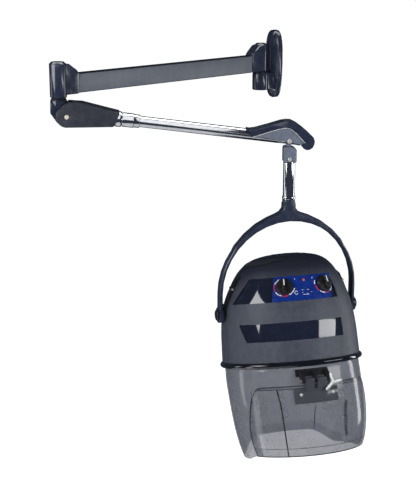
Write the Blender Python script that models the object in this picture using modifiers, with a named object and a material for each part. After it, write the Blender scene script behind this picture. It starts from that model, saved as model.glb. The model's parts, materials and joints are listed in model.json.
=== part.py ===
"""Hood hair dryer on a two-part swinging wall arm.

The frame's origin is the centre of the wall bracket's back face. The wall is on the +Y side,
the dryer reaches out along -Y, and +Z is up. Lengths are in metres and angles in degrees.

Each moving group hangs on an empty that stands on its joint's axis. Arm pieces are built with
local -Y pointing along the arm, and hood pieces with local -Y pointing to the hood's front.
"""
import bpy
import bmesh
from math import cos, pi, radians, sin, tan
from mathutils import Matrix, Vector

# --- driving dimensions -------------------------------------------------------------------
GAP = 0.0003                      # clearance between touching pieces
PIN_GAP = 0.0003                  # radial clearance of pins in their holes

WALL_HINGE_OUT = 0.060            # wall hinge axis in front of the wall
BAR_YAW = 7.5                     # swing bar, turned from -Y towards +X
BAR_LENGTH = 0.760                # wall hinge to elbow hinge
BAR_HEIGHT = 0.050
BAR_WIDTH = 0.028
BAR_WALL = 0.002
BAR_Z = 0.006
HOUSING_WALL_R = 0.0185
HOUSING_ELBOW_R = 0.0215
HOUSING_TOP = 0.064
WALL_SOCKET = 0.050
ELBOW_SOCKET = 0.056
ELBOW_LOW = -0.030
PLATE_T = 0.005
SCREW_HEIGHTS = (0.060, -0.086)
KNUCKLE_LOW, KNUCKLE_HIGH = -0.0735, -0.0225
WASHER_T = 0.002
PIN_R = 0.0072                    # vertical hinge pins
LIFT_PIN_R = 0.0058

ARM_YAW = 146.2                   # tubular arm, turned from -Y towards +X
ARM_SLOPE = 7.3                   # tubular arm, downwards
PIN_REACH = 0.020                 # elbow hinge to lift pin, along the arm
PIN_DROP = 0.073                  # lift pin below the frame's origin
ARM_REACH = 0.5695                # lift pin to hanger stem, measured level
TUBE_UP = 0.007                   # tube axis above the lift pin, square to the arm
TUBE_R = 0.0146
TUBE_TIP = 0.027                  # tube's end beyond the stem
COLLAR_R = 0.0204
COLLAR_SEAT = 0.119
COVER_HALF = 0.0252               # half width of the elbow cover at the lift pin
COVER_WALL = 0.0026
COVER_END = 0.131

STEM_R = 0.0159                   # drop tube
HANGER_DROP = 0.142               # hanger pivot below the frame's origin
HANGER_BACK = 0.003               # pivot screw behind the stem's axis, towards the elbow
BLOCK_TOP, BLOCK_LOW = -0.0150, -0.0575
CLAMP_Z = -0.0480
STOP_Z = -0.1335
STOP_TURN = -88.0                 # stop screw's place round the tube
YOKE_TOP = 0.302                  # top of the yoke's sleeve above the tilt axis
TILT_DROP = 0.599                 # tilt axis below the frame's origin
YOKE_INNER = 0.183
YOKE_OUTER = 0.192
YOKE_LEG = 0.058                  # straight part of the legs above the tilt axis
YOKE_DEPTH = 0.026
BOLT_R = 0.006

HOOD_YAW = 69.0                   # hood front, turned from -Y towards +X
HOOD_TILT = 16.5                  # front of the hood raised
SHELL = 0.003                     # thickness of the moulded shells
SHELL_BOTTOM = -0.127
RING_Z = -0.135
RING_R = 0.183
CHAMBER_TOP = -0.1425

# Outer radius of the hood's shell against the height above the tilt axis, from top to bottom.
DOME = [(0.049, 0.1462), (0.078, 0.1405), (0.103, 0.1295), (0.124, 0.111), (0.138, 0.091),
        (0.150, 0.068), (0.160, 0.047), (0.168, 0.026), (0.1735, 0.004), (0.178, -0.024),
        (0.1810, -0.055), (0.1826, -0.090), (0.184, SHELL_BOTTOM)]

# Chamber: height, radius and forward shift of its centre.
CHAMBER = [(CHAMBER_TOP, 0.1785, 0.002), (-0.178, 0.1797, 0.006), (-0.215, 0.1787, 0.012),
           (-0.250, 0.1772, 0.018), (-0.304, 0.1722, 0.024), (-0.352, 0.1627, 0.025),
           (-0.396, 0.147, 0.018)]
# Forward shift of the dome's centre.
DOME_SHIFT = [(0.149, 0.024), (0.100, 0.011), (0.050, 0.003), (0.000, 0.000), (-0.1425, 0.000)]

DOOR_HALF = 63.0                  # half of the visor's opening, in degrees round the hood
DOOR_TOP = -0.188
DOOR_BOTTOM = -0.3655
NECK_Z = -0.347                   # back rim at the neck
NECK_HALF = 28.0
LOBE_Z = -0.3795                  # lowest point of the side lobes
HINGE_X = -0.011                  # visor's hinge, middle
HINGE_Y = -0.1975
HINGE_Z = -0.1755
HINGE_PIN_R = 0.0024
DOOR_OUT = 0.0019                 # visor's inner face off the chamber

SHELL_SPLIT = 82.0                # front shell reaches this far round to each side
PANEL_LEFT, PANEL_LOW, PANEL_HIGH = -32.0, 0.0245, 0.0875
TIMER_AZ, THERMOSTAT_AZ = -21.0, 18.8
KNOB_H = 0.0605
LAMP_AZ = -1.6
LAMP_H = 0.0755
MOTOR_PLATE_Z = 0.1035
# Tilt brackets: middle line of the strap, and where its screws go.
STRAP = [(0.1792, -0.012), (0.1784, 0.010), (0.1694, 0.0385), (0.1578, 0.066), (0.1461, 0.090),
         (0.1330, 0.1015)]
LUGS = ((0.1560, 0.0700), (0.1745, 0.0235))

# Seam between end cover and bracket, in millimetres from the hanger pivot (along, up).
TRIM_LINE = [(-97, 13.5), (-70, 21.5), (-45, 29), (-24, 34), (-15, 35.2), (-6, 34.3), (3, 30),
             (14, 21), (26, 8), (37, -4)]

ARM_LENGTH = ARM_REACH / cos(radians(ARM_SLOPE))
TUBE_END = ARM_LENGTH + TUBE_TIP
# The tube's axis passes this far above the hanger pivot at the stem.
ARM_ABOVE_PIVOT = (HANGER_DROP - PIN_DROP - ARM_REACH * tan(radians(ARM_SLOPE))
                   + TUBE_UP / cos(radians(ARM_SLOPE)))

COLLECTION = "hood_hair_dryer"


# --- small helpers ------------------------------------------------------------------------
def clear_scene():
    for item in list(bpy.data.objects):
        bpy.data.objects.remove(item, do_unlink=True)


def collection(name):
    made = bpy.data.collections.new(name)
    bpy.context.scene.collection.children.link(made)
    return made


def material(name, colour, roughness, metallic=0.0, alpha=1.0):
    made = bpy.data.materials.new(name)
    made.use_nodes = True
    shader = made.node_tree.nodes["Principled BSDF"]
    shader.inputs["Base Color"].default_value = (*colour, 1.0)
    shader.inputs["Roughness"].default_value = roughness
    shader.inputs["Metallic"].default_value = metallic
    shader.inputs["Alpha"].default_value = alpha
    return made


def empty(name, parent=None, location=(0, 0, 0), rotation=(0, 0, 0)):
    made = bpy.data.objects.new(name, None)
    made.parent = parent
    made.location = location
    made.rotation_euler = [radians(angle) for angle in rotation]
    PARTS.objects.link(made)
    return made


def add(name, mesh, parent, finish, location=(0, 0, 0), rotation=(0, 0, 0), group=None):
    made = bpy.data.objects.new(name, mesh)
    made.parent = parent
    made.location = location
    made.rotation_euler = [radians(angle) for angle in rotation]
    (group or PARTS).objects.link(made)
    if finish:
        own = finish.copy()
        own.name = name + "_" + finish.name
        mesh.materials.clear()
        mesh.materials.append(own)
    return made


def smooth(mesh, angle=35.0):
    mesh.shade_smooth()
    mesh.set_sharp_from_angle(angle=radians(angle))
    return mesh


def mesh_from(build):
    """A mesh filled by a function that works on a bmesh."""
    mesh = bpy.data.meshes.new("mesh")
    work = bmesh.new()
    build(work)
    bmesh.ops.recalc_face_normals(work, faces=work.faces)
    work.to_mesh(mesh)
    work.free()
    return mesh


def evaluated(source, weld=0.00001):
    """The evaluated mesh of an object, welded, and the object removed."""
    bpy.context.view_layer.update()
    graph = bpy.context.evaluated_depsgraph_get()
    mesh = bpy.data.meshes.new_from_object(source.evaluated_get(graph))
    bpy.data.objects.remove(source, do_unlink=True)
    work = bmesh.new()
    work.from_mesh(mesh)
    bmesh.ops.remove_doubles(work, verts=work.verts, dist=weld)
    bmesh.ops.recalc_face_normals(work, faces=work.faces)
    work.to_mesh(mesh)
    work.free()
    return mesh


def bevel(mesh, width, segments=2, angle=40.0):
    """A mesh with its edges rounded."""
    holder = bpy.data.objects.new("bevel", mesh)
    PARTS.objects.link(holder)
    step = holder.modifiers.new("edges", "BEVEL")
    step.width = width
    step.segments = segments
    step.limit_method = "ANGLE"
    step.angle_limit = radians(angle)
    return evaluated(holder)


def join(*meshes, operation="UNION"):
    """The first mesh with each of the others joined to it or cut from it."""
    holder = bpy.data.objects.new("join", meshes[0])
    PARTS.objects.link(holder)
    tools = []
    for mesh in meshes[1:]:
        tool = bpy.data.objects.new("tool", mesh)
        CUTTERS.objects.link(tool)
        tool.hide_render = True
        tool.display_type = "WIRE"
        tools.append(tool)
        step = holder.modifiers.new("join", "BOOLEAN")
        step.operation = operation
        step.solver = "EXACT"
        step.object = tool
    made = evaluated(holder)
    for tool in tools:
        bpy.data.objects.remove(tool, do_unlink=True)
    return made


def cut(*meshes):
    return join(*meshes, operation="DIFFERENCE")


def moved(mesh, location=(0, 0, 0), rotation=(0, 0, 0)):
    turn = Matrix.Identity(4)
    for axis, angle in zip("XYZ", rotation):
        turn = Matrix.Rotation(radians(angle), 4, axis) @ turn
    mesh.transform(Matrix.Translation(location) @ turn)
    return mesh


def box(size, centre=(0, 0, 0), round_by=0.0, segments=2):
    mesh = mesh_from(lambda work: bmesh.ops.create_cube(
        work, size=1.0, matrix=Matrix.Diagonal((*size, 1.0))))
    if round_by:
        mesh = bevel(mesh, round_by, segments)
    return moved(mesh, centre)


def cylinder(radius, low, high, axis="Z", centre=(0, 0, 0), sides=16, round_by=0.0):
    """A cylinder from low to high along an axis."""
    def build(work):
        bmesh.ops.create_cone(work, cap_ends=True, segments=sides, radius1=radius,
                              radius2=radius, depth=high - low,
                              matrix=Matrix.Translation((0, 0, (low + high) / 2)))
    mesh = mesh_from(build)
    if round_by:
        mesh = bevel(mesh, round_by, 1)
    turn = {"X": (0, 90, 0), "Y": (-90, 0, 0), "Z": (0, 0, 0)}[axis]
    return moved(mesh, centre, turn)


def turned(profile, sides=24, sweep=360.0, start=0.0, thickness=0.0):
    """A profile of (radius, height) points, outer side from top to bottom, turned about Z."""
    def build(work):
        points = [work.verts.new((radius, 0, height)) for radius, height in profile]
        for first, second in zip(points, points[1:]):
            work.edges.new((first, second))
        if profile[0][0] > 0 and profile[-1][0] > 0 and not thickness:
            work.edges.new((points[-1], points[0]))
    mesh = bpy.data.meshes.new("profile")
    work = bmesh.new()
    build(work)
    work.to_mesh(mesh)
    work.free()
    holder = bpy.data.objects.new("turned", mesh)
    PARTS.objects.link(holder)
    step = holder.modifiers.new("turn", "SCREW")
    step.angle = radians(sweep)
    step.steps = sides
    step.render_steps = sides
    step.use_merge_vertices = True
    step.merge_threshold = 0.00001
    if thickness:
        wall = holder.modifiers.new("wall", "SOLIDIFY")
        wall.thickness = thickness
        wall.offset = -1.0
    return moved(evaluated(holder), rotation=(0, 0, start))


def extruded(outline, thickness, axis="X", offset=0.0):
    """A flat outline with a thickness. The outline's points are (Y, Z) for axis X,
    (X, Z) for axis Y, and (X, Y) for axis Z. The slab is centred on the offset."""
    curve = bpy.data.curves.new("outline", "CURVE")
    curve.dimensions = "2D"
    curve.fill_mode = "BOTH"
    curve.extrude = thickness / 2
    line = curve.splines.new("POLY")
    line.points.add(len(outline) - 1)
    for point, (across, up) in zip(line.points, outline):
        point.co = (across, up, 0, 1)
    line.use_cyclic_u = True
    holder = bpy.data.objects.new("outline", curve)
    PARTS.objects.link(holder)
    mesh = evaluated(holder)
    if axis == "X":
        mesh.transform(Matrix(((0, 0, 1, offset), (1, 0, 0, 0), (0, 1, 0, 0), (0, 0, 0, 1))))
    elif axis == "Y":
        mesh.transform(Matrix(((1, 0, 0, 0), (0, 0, -1, offset), (0, 1, 0, 0), (0, 0, 0, 1))))
    else:
        mesh.transform(Matrix.Translation((0, 0, offset)))
    return mesh


def bent_tube(points, radius, resolution=1):
    """A round bar along a line of points."""
    curve = bpy.data.curves.new("bar", "CURVE")
    curve.dimensions = "3D"
    curve.bevel_depth = radius
    curve.bevel_resolution = resolution
    curve.use_fill_caps = True
    line = curve.splines.new("POLY")
    line.points.add(len(points) - 1)
    for point, place in zip(line.points, points):
        point.co = (*place, 1)
    holder = bpy.data.objects.new("bar", curve)
    PARTS.objects.link(holder)
    return evaluated(holder)


def arc(centre, radius, start, end, steps):
    """Points on an arc in a plane, from one angle to another."""
    points = []
    for step in range(steps + 1):
        angle = radians(start + (end - start) * step / steps)
        points.append((centre[0] + radius * cos(angle), centre[1] + radius * sin(angle)))
    return points


def table(rows, at, column=1):
    """A value read off rows of (place, value, ...), straight between them."""
    rows = sorted(rows)
    at = min(max(at, rows[0][0]), rows[-1][0])
    for low, high in zip(rows, rows[1:]):
        if at <= high[0]:
            share = (at - low[0]) / (high[0] - low[0])
            return low[column] + (high[column] - low[column]) * share
    return rows[-1][column]


def grid(columns, rows, place, closed=False):
    """An open surface: place(column, row) gives a point, or None where there is no surface."""
    def build(work):
        found = {}
        for i in range(columns + (0 if closed else 1)):
            for j in range(rows + 1):
                point = place(i, j)
                if point is not None:
                    found[i, j] = work.verts.new(point)
        for i in range(columns):
            after = (i + 1) % columns if closed else i + 1
            for j in range(rows):
                corners = [(i, j), (after, j), (after, j + 1), (i, j + 1)]
                if all(corner in found for corner in corners):
                    work.faces.new([found[corner] for corner in corners])
        loose = [vert for vert in work.verts if not vert.link_faces]
        bmesh.ops.delete(work, geom=loose, context="VERTS")
    mesh = bpy.data.meshes.new("grid")
    work = bmesh.new()
    build(work)
    work.to_mesh(mesh)
    work.free()
    return mesh


def walled(mesh, thickness, offset=-1.0):
    """An open surface given a thickness, on its inner side when the offset is -1."""
    holder = bpy.data.objects.new("wall", mesh)
    PARTS.objects.link(holder)
    step = holder.modifiers.new("wall", "SOLIDIFY")
    step.thickness = thickness
    step.offset = offset
    return evaluated(holder)


def screw_mesh(head, shank, length, thick=0.003):
    """A round-headed screw: the head's seat at height 0, the shank below it."""
    profile = [(0, thick), (head * 0.7, thick * 0.75), (head, 0),
               (shank, 0), (shank, -length), (0, -length)]
    return smooth(turned(profile, 10), 50)


# --- wall side ----------------------------------------------------------------------------
def shield(half_width, half_height, points=40, power=3.0):
    """A shield outline: a superellipse, narrower towards its lower end."""
    outline = []
    for step in range(points):
        angle = 2 * pi * step / points
        across = abs(cos(angle)) ** (2 / power) * (1 if cos(angle) > 0 else -1)
        up = abs(sin(angle)) ** (2 / power) * (1 if sin(angle) > 0 else -1)
        narrow = 1.0 - 0.10 * max(0.0, -up)
        outline.append((half_width * across * narrow, half_height * up))
    return outline


def make_wall_bracket(root):
    plate = extruded(shield(0.0280, 0.0960, 20), PLATE_T, "Y", -PLATE_T / 2)
    knuckle = cylinder(0.0240, KNUCKLE_LOW, KNUCKLE_HIGH, round_by=0.002,
                       centre=(0, -WALL_HINGE_OUT, 0))
    web = box((0.032, WALL_HINGE_OUT - 0.002, KNUCKLE_HIGH - KNUCKLE_LOW - 0.003),
              (0, -WALL_HINGE_OUT / 2 - 0.001, (KNUCKLE_LOW + KNUCKLE_HIGH) / 2), 0.002)
    mesh = join(plate, knuckle, web)
    tools = [cylinder(0.0072 + PIN_GAP, -0.070, 0.0, centre=(0, -WALL_HINGE_OUT, 0))]
    for height in SCREW_HEIGHTS:
        tools.append(cylinder(0.0035, -0.02, 0.02, "Y", (0, 0, height)))
    return add("wall_bracket", smooth(cut(mesh, *tools)), root, STEEL_GRAY)


def make_wall_screws(root):
    for name, height in zip(("upper", "lower"), SCREW_HEIGHTS):
        add("wall_screw_" + name, screw_mesh(0.0065, 0.0032, 0.0045), root, STEEL,
            (0, -PLATE_T - GAP, height), (90, 0, 0))


def make_wall_cover(root):
    """A roofed shell over the bracket, with a vertical ridge and an open back."""
    steps = 24
    levels = [(1.0, 1.0, 0.0006), (1.0, 1.0, 0.0110), (0.93, 0.975, 0.0150),
              (0.12, 0.74, 0.0240)]
    outline = shield(0.0325, 0.1005, steps)

    def place(i, j):
        wide, tall, depth = levels[j]
        across, up = outline[i % steps]
        return (across * wide, -depth, up * tall)

    mesh = grid(steps, len(levels) - 1, place, closed=True)
    work = bmesh.new()
    work.from_mesh(mesh)
    top = [edge for edge in work.edges if edge.is_boundary
           and edge.verts[0].co.y < -0.0235 and edge.verts[1].co.y < -0.0235]
    bmesh.ops.contextual_create(work, geom=top)
    bmesh.ops.recalc_face_normals(work, faces=work.faces)
    work.to_mesh(mesh)
    work.free()
    mesh = walled(mesh, 0.0025)
    slot = box((0.0335, 0.06, KNUCKLE_HIGH - KNUCKLE_LOW - 0.002),
               (0, -0.02, (KNUCKLE_LOW + KNUCKLE_HIGH) / 2))
    return add("wall_cover", smooth(cut(mesh, slot), 28), root, NAVY)


# --- swing bar ----------------------------------------------------------------------------
def housing(radius, length, low, top, towards, socket_low):
    """A hinge barrel with a socket block that takes the bar, along +Y or -Y."""
    barrel = cylinder(radius, low, top, round_by=0.005, sides=18)
    half = BAR_WIDTH / 2 + 0.0025
    side = [(0, socket_low), (length, socket_low), (length, BAR_Z + BAR_HEIGHT / 2 + 0.002),
            (length - 0.006, BAR_Z + BAR_HEIGHT / 2 + 0.009), (length * 0.45, top - 0.006),
            (0, top - 0.002)]
    block = bevel(extruded([(towards * along, up) for along, up in side], 2 * half), 0.0025, 1)
    plug = box((BAR_WIDTH - 2 * BAR_WALL - 2 * GAP, 0.026,
                BAR_HEIGHT - 2 * BAR_WALL - 2 * GAP),
               (0, towards * (length + 0.010), BAR_Z), 0.001, 1)
    return join(barrel, block, plug)


def make_swing_bar(arm1):
    low = BAR_Z - BAR_HEIGHT / 2 + 0.0005
    bottom = KNUCKLE_HIGH + WASHER_T + 2 * GAP
    shell = housing(HOUSING_WALL_R, WALL_SOCKET, bottom, HOUSING_TOP, -1, low)
    bore = cylinder(PIN_R + PIN_GAP, -0.1, HOUSING_TOP - 0.008)
    add("wall_end_housing", smooth(cut(shell, bore)), arm1, NAVY)

    pin = cylinder(PIN_R, -0.0695, HOUSING_TOP - 0.009, round_by=0.001)
    add("wall_hinge_pin", smooth(pin), WALL, STEEL, (0, -WALL_HINGE_OUT, 0))
    washer = turned([(0.0175, WASHER_T), (0.0175, 0), (0.0080, 0), (0.0080, WASHER_T)], 20)
    add("wall_thrust_washer", smooth(washer), WALL, BRASS,
        (0, -WALL_HINGE_OUT, KNUCKLE_HIGH + GAP))

    start = WALL_SOCKET + GAP
    end = BAR_LENGTH - ELBOW_SOCKET - GAP
    outer = box((BAR_WIDTH, end - start, BAR_HEIGHT), (0, 0, 0), 0.003, 2)
    inner = box((BAR_WIDTH - 2 * BAR_WALL, 1.0, BAR_HEIGHT - 2 * BAR_WALL))
    bar = moved(cut(outer, inner), (0, -(start + end) / 2, BAR_Z))
    add("swing_bar", smooth(bar), arm1, BAR_GRAY)

    shell = housing(HOUSING_ELBOW_R, ELBOW_SOCKET, ELBOW_LOW, HOUSING_TOP - 0.001, 1, -0.0205)
    bore = cylinder(PIN_R + PIN_GAP, -0.1, HOUSING_TOP - 0.009)
    add("elbow_housing", smooth(cut(shell, bore)), arm1, NAVY, (0, -BAR_LENGTH, 0))


# --- elbow --------------------------------------------------------------------------------
def make_elbow(elbow):
    top = ELBOW_LOW - WASHER_T - 2 * GAP
    barrel = cylinder(HOUSING_ELBOW_R, -PIN_DROP + 0.024, top, round_by=0.0015, sides=18)
    outline = [(0.0213, 0.034), (0.0213, 0.009), (0.0040, -0.0165)]
    outline += arc((-PIN_REACH, 0), 0.0205, -45, -180, 7)
    outline += [(-PIN_REACH - 0.0170, 0.0120), (-PIN_REACH + 0.0005, 0.0260),
                (-PIN_REACH + 0.0005, 0.034)]
    tongue = bevel(extruded(outline, 0.036), 0.002, 1)
    mesh = join(barrel, moved(tongue, (0, 0, -PIN_DROP)))
    mesh = cut(mesh, cylinder(PIN_R + PIN_GAP, -PIN_DROP + 0.012, 0.0),
               cylinder(LIFT_PIN_R + PIN_GAP, -0.05, 0.05, "X", (0, -PIN_REACH, -PIN_DROP)))
    add("elbow_knuckle", smooth(mesh), elbow, NAVY)

    pin = cylinder(PIN_R, -PIN_DROP + 0.0125, HOUSING_TOP - 0.0105, round_by=0.001)
    add("elbow_pin", smooth(pin), elbow, STEEL)
    washer = turned([(0.0205, WASHER_T), (0.0205, 0), (0.0080, 0), (0.0080, WASHER_T)], 20)
    add("elbow_thrust_washer", smooth(washer), elbow, BRASS, (0, 0, top + GAP))
    pin = cylinder(LIFT_PIN_R, -0.0262, 0.0262, "X", round_by=0.0012)
    add("lift_pin", smooth(pin), elbow, IVORY, (0, -PIN_REACH, -PIN_DROP))


# --- tubular arm --------------------------------------------------------------------------
def cover_outline():
    """Side view of the elbow cover: round about the lift pin, tapering to the collar."""
    outline = [(0.000, 0.0380), (-0.0145, 0.0250)]
    outline += arc((0, 0), 0.0275, 122, 270, 8)
    outline += [(0.030, -0.0236), (0.080, -0.0172), (0.1180, -0.0122), (0.1225, -0.0070),
                (COVER_END, 0.0270), (0.085, 0.0330), (0.034, 0.0398)]
    return [(-along, up) for along, up in outline]


def make_elbow_cover(arm2):
    """Two half covers that meet on the arm's middle plane."""
    inside = [(0.020, 0.0362), (0.034, 0.0370), (0.085, 0.0303), (COLLAR_SEAT - 0.003, 0.0262),
              (COLLAR_SEAT - 0.003, -0.0096), (0.080, -0.0146), (0.030, -0.0210),
              (0.020, -0.0222)]
    mouth = [(0.0205, 0.060), (0.0205, -0.060), (-0.060, -0.060), (-0.060, 0.060)]
    for name, side in (("left", -1), ("right", 1)):
        solid = extruded(cover_outline(), COVER_HALF - GAP, "X", (COVER_HALF + GAP) / 2)
        for vert in solid.vertices:
            share = min(max((-vert.co.y - 0.020) / 0.11, 0.0), 1.0)
            vert.co.x *= 1.0 - 0.10 * share
        solid = bevel(solid, 0.003, 1, 60)
        reach = COVER_HALF - COVER_WALL
        hollow = extruded([(-along, up) for along, up in inside], reach + 0.02, "X",
                          reach / 2 - 0.01)
        for vert in hollow.vertices:
            share = min(max((-vert.co.y - 0.020) / 0.11, 0.0), 1.0)
            vert.co.x *= 1.0 - 0.10 * share
        opening = extruded([(-along, up) for along, up in mouth], reach + 0.02, "X",
                           reach / 2 - 0.01)
        mesh = cut(solid, hollow, opening,
                   cylinder(TUBE_R + GAP, -0.2, 0.2, "Y", (0, 0, TUBE_UP), sides=18),
                   cylinder(COLLAR_R + GAP, -0.2, -COLLAR_SEAT, "Y", (0, 0, TUBE_UP),
                            sides=18),
                   cylinder(LIFT_PIN_R + PIN_GAP, -0.1, 0.1, "X"))
        if side < 0:
            mesh.transform(Matrix.Scale(-1, 4, (1, 0, 0)))
            mesh.flip_normals()
        add("elbow_cover_" + name, smooth(mesh), arm2, BLACK_SATIN)


def make_arm_tube(arm2):
    start, end = 0.050, TUBE_END
    wall = turned([(TUBE_R, end), (TUBE_R, start), (TUBE_R - 0.002, start),
                   (TUBE_R - 0.002, end)], 20)
    wall = moved(wall, (0, 0, TUBE_UP), (90, 0, 0))
    slot = box((0.012, 0.050, 0.03), (0, -(ARM_LENGTH - 0.004), TUBE_UP - 0.02))
    bolt = cylinder(0.0036, -0.05, 0.05, "X", hanger_on_arm())
    add("arm_tube", smooth(cut(wall, slot, bolt)), arm2, CHROME)

    rings = [("collar_ring", COLLAR_R, COLLAR_SEAT + GAP, 0.1395, 0.0055),
             ("collar_sleeve", 0.0186, 0.1398, 0.1840, 0.0010)]
    for name, radius, low, high, edge in rings:
        inner = TUBE_R + GAP
        profile = [(inner, high), (radius - edge, high)]
        profile += [(radius - edge + across, high - edge + up)
                    for across, up in arc((0, 0), edge, 90, 0, 2)][1:]
        if name == "collar_sleeve":
            profile = [(inner, high), (0.0162, high), (0.0172, high - 0.001),
                       (0.0172, 0.1690), (radius - edge, 0.1690), (radius, 0.1680)]
        profile += [(radius - edge + across, low + edge + up)
                    for across, up in arc((0, 0), edge, 0, -90, 2)]
        profile += [(inner, low)]
        ring = moved(turned(profile, 20), (0, 0, TUBE_UP), (90, 0, 0))
        add(name, smooth(ring), arm2, CHROME)


def make_balance_spring(arm2):
    """The spring that carries part of the hood's weight, inside the tube."""
    turns, per_turn, radius = 8, 6, 0.0088
    points = []
    for step in range(turns * per_turn + 1):
        angle = 2 * pi * step / per_turn
        along = 0.195 + 0.150 * step / (turns * per_turn)
        points.append((radius * cos(angle), -along, TUBE_UP + radius * sin(angle)))
    add("balance_spring", smooth(bent_tube(points, 0.0012, 0), 60), arm2, STEEL)


def end_place(points):
    """Side-view points given in millimetres from the hanger pivot, in the end empty's frame."""
    return [(-along / 1000, up / 1000) for along, up in points]


def offset_line(points, distance):
    """The line moved sideways, to its left for a positive distance."""
    made = []
    for index, point in enumerate(points):
        before = points[max(index - 1, 0)]
        after = points[min(index + 1, len(points) - 1)]
        along = Vector((after[0] - before[0], after[1] - before[1])).normalized()
        made.append((point[0] - along.y * distance, point[1] + along.x * distance))
    return made


def make_arm_end(end):
    """Black end cover, silver trim and the bracket under them, around the end of the tube."""
    tube_place = (0, 0, ARM_ABOVE_PIVOT)
    bore = cylinder(TUBE_R + GAP, -0.140, TUBE_TIP + 0.0015, "Y", sides=18)
    bore.transform(Matrix.Rotation(pi, 4, "Z"))
    bore = moved(bore, tube_place, (ARM_SLOPE, 0, 0))

    top = [(-114, 33), (-104, 30.5), (-90, 32), (-50, 42.5), (-24, 50), (-10, 52.3), (3, 51.5),
           (16, 45), (34, 32), (50, 18), (58.5, 9.5), (62, 0), (61, -9), (57, -17), (50, -22),
           (42, -23.5), (34, -20), (29, -14)]
    lower = offset_line(TRIM_LINE, 0.3)
    cover = extruded(end_place(top + lower[::-1]), 0.046)
    cover = cut(bevel(cover, 0.0045, 2, 50), bore.copy())
    add("end_cover", smooth(cover), end, BLACK_SATIN)

    trim = offset_line(TRIM_LINE, 0.0) + offset_line(TRIM_LINE, -1.9)[::-1]
    trim = cut(extruded(end_place(trim), 0.0466), bore.copy())
    add("end_trim", smooth(trim), end, SILVER)

    body = offset_line(TRIM_LINE, -2.2) + [(27.5, -12), (20, -7.5), (-60, 8.5), (-94, 11.6)]
    body = bevel(extruded(end_place(body), 0.038), 0.001, 1, 60)
    hole = cylinder(0.0036, -0.1, 0.1, "X", (0, HANGER_BACK, 0))
    body = cut(body, bore.copy(), hole)
    add("end_bracket", smooth(body), end, SLATE)

    shank = cylinder(0.0033, -0.0205, 0.0195, "X")
    head = cylinder(0.0062, -0.0232, -0.0193, "X", round_by=0.001)
    screw = join(shank, head)
    add("hanger_pivot_screw", smooth(screw), end, BRIGHT, (0, HANGER_BACK, 0))


# --- hanger -------------------------------------------------------------------------------
def make_hanger(hanger):
    side = [(0.0170, BLOCK_LOW), (0.0170, BLOCK_TOP - 0.002), (0.0140, BLOCK_TOP),
            (-0.0040, BLOCK_TOP), (-0.0170, BLOCK_TOP - 0.0062), (-0.0170, BLOCK_LOW)]
    block = bevel(extruded(side, 0.038), 0.0035, 1, 50)
    tongue = [(0.0065 + HANGER_BACK, -0.018), *arc((HANGER_BACK, 0), 0.0065, 0, 180, 6),
              (-0.0065 + HANGER_BACK, -0.018)]
    tongue = extruded(tongue, 0.0095)
    bore = cylinder(STEM_R + GAP, -0.1, BLOCK_TOP - 0.0205, sides=18)
    pivot = cylinder(0.0036, -0.05, 0.05, "X", (0, HANGER_BACK, 0))
    clamp = cylinder(0.0033, -0.05, 0.05, "X", (0, 0.001, CLAMP_Z))
    notch = cylinder(0.0105, -0.05, 0.05, "X", (0, -0.001, BLOCK_LOW - 0.0035))
    mesh = cut(join(block, tongue), bore, pivot, clamp, notch)
    add("hanger_block", smooth(mesh), hanger, SLATE)

    shank = cylinder(0.0030, -0.0205, 0.0185, "X")
    head = cylinder(0.0058, -0.0224, -0.0193, "X", round_by=0.001)
    add("hanger_clamp_screw", smooth(join(shank, head)), hanger, BRIGHT, (0, 0.001, CLAMP_Z))

    top = BLOCK_TOP - 0.0208
    low = HANGER_DROP - TILT_DROP + YOKE_TOP - 0.030
    tube = turned([(STEM_R, top), (STEM_R, low), (STEM_R - 0.002, low), (STEM_R - 0.002, top)],
                  20)
    cross = cylinder(0.0033, -0.05, 0.05, "X", (0, 0.001, CLAMP_Z))
    stop = moved(cylinder(0.0028, 0, 0.05, "Y"), (0, 0, STOP_Z), (0, 0, STOP_TURN))
    add("drop_tube", smooth(cut(tube, cross, stop)), hanger, CHROME)
    screw = screw_mesh(0.0036, 0.0025, 0.006, 0.002)
    place = Matrix.Rotation(radians(STOP_TURN), 4, "Z") @ Vector((0, STEM_R + 0.0004, STOP_Z))
    add("stop_screw", screw, hanger, BRIGHT, place, (-90, 0, STOP_TURN))
    collar = [(0.0174, 0.007), (0.0178, 0.0035), (0.0174, 0), (STEM_R + GAP, 0),
              (STEM_R + GAP, 0.007)]
    add("stop_collar", smooth(turned(collar, 20)), hanger, CHROME,
        (0, 0, HANGER_DROP - TILT_DROP + YOKE_TOP + GAP))


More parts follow.
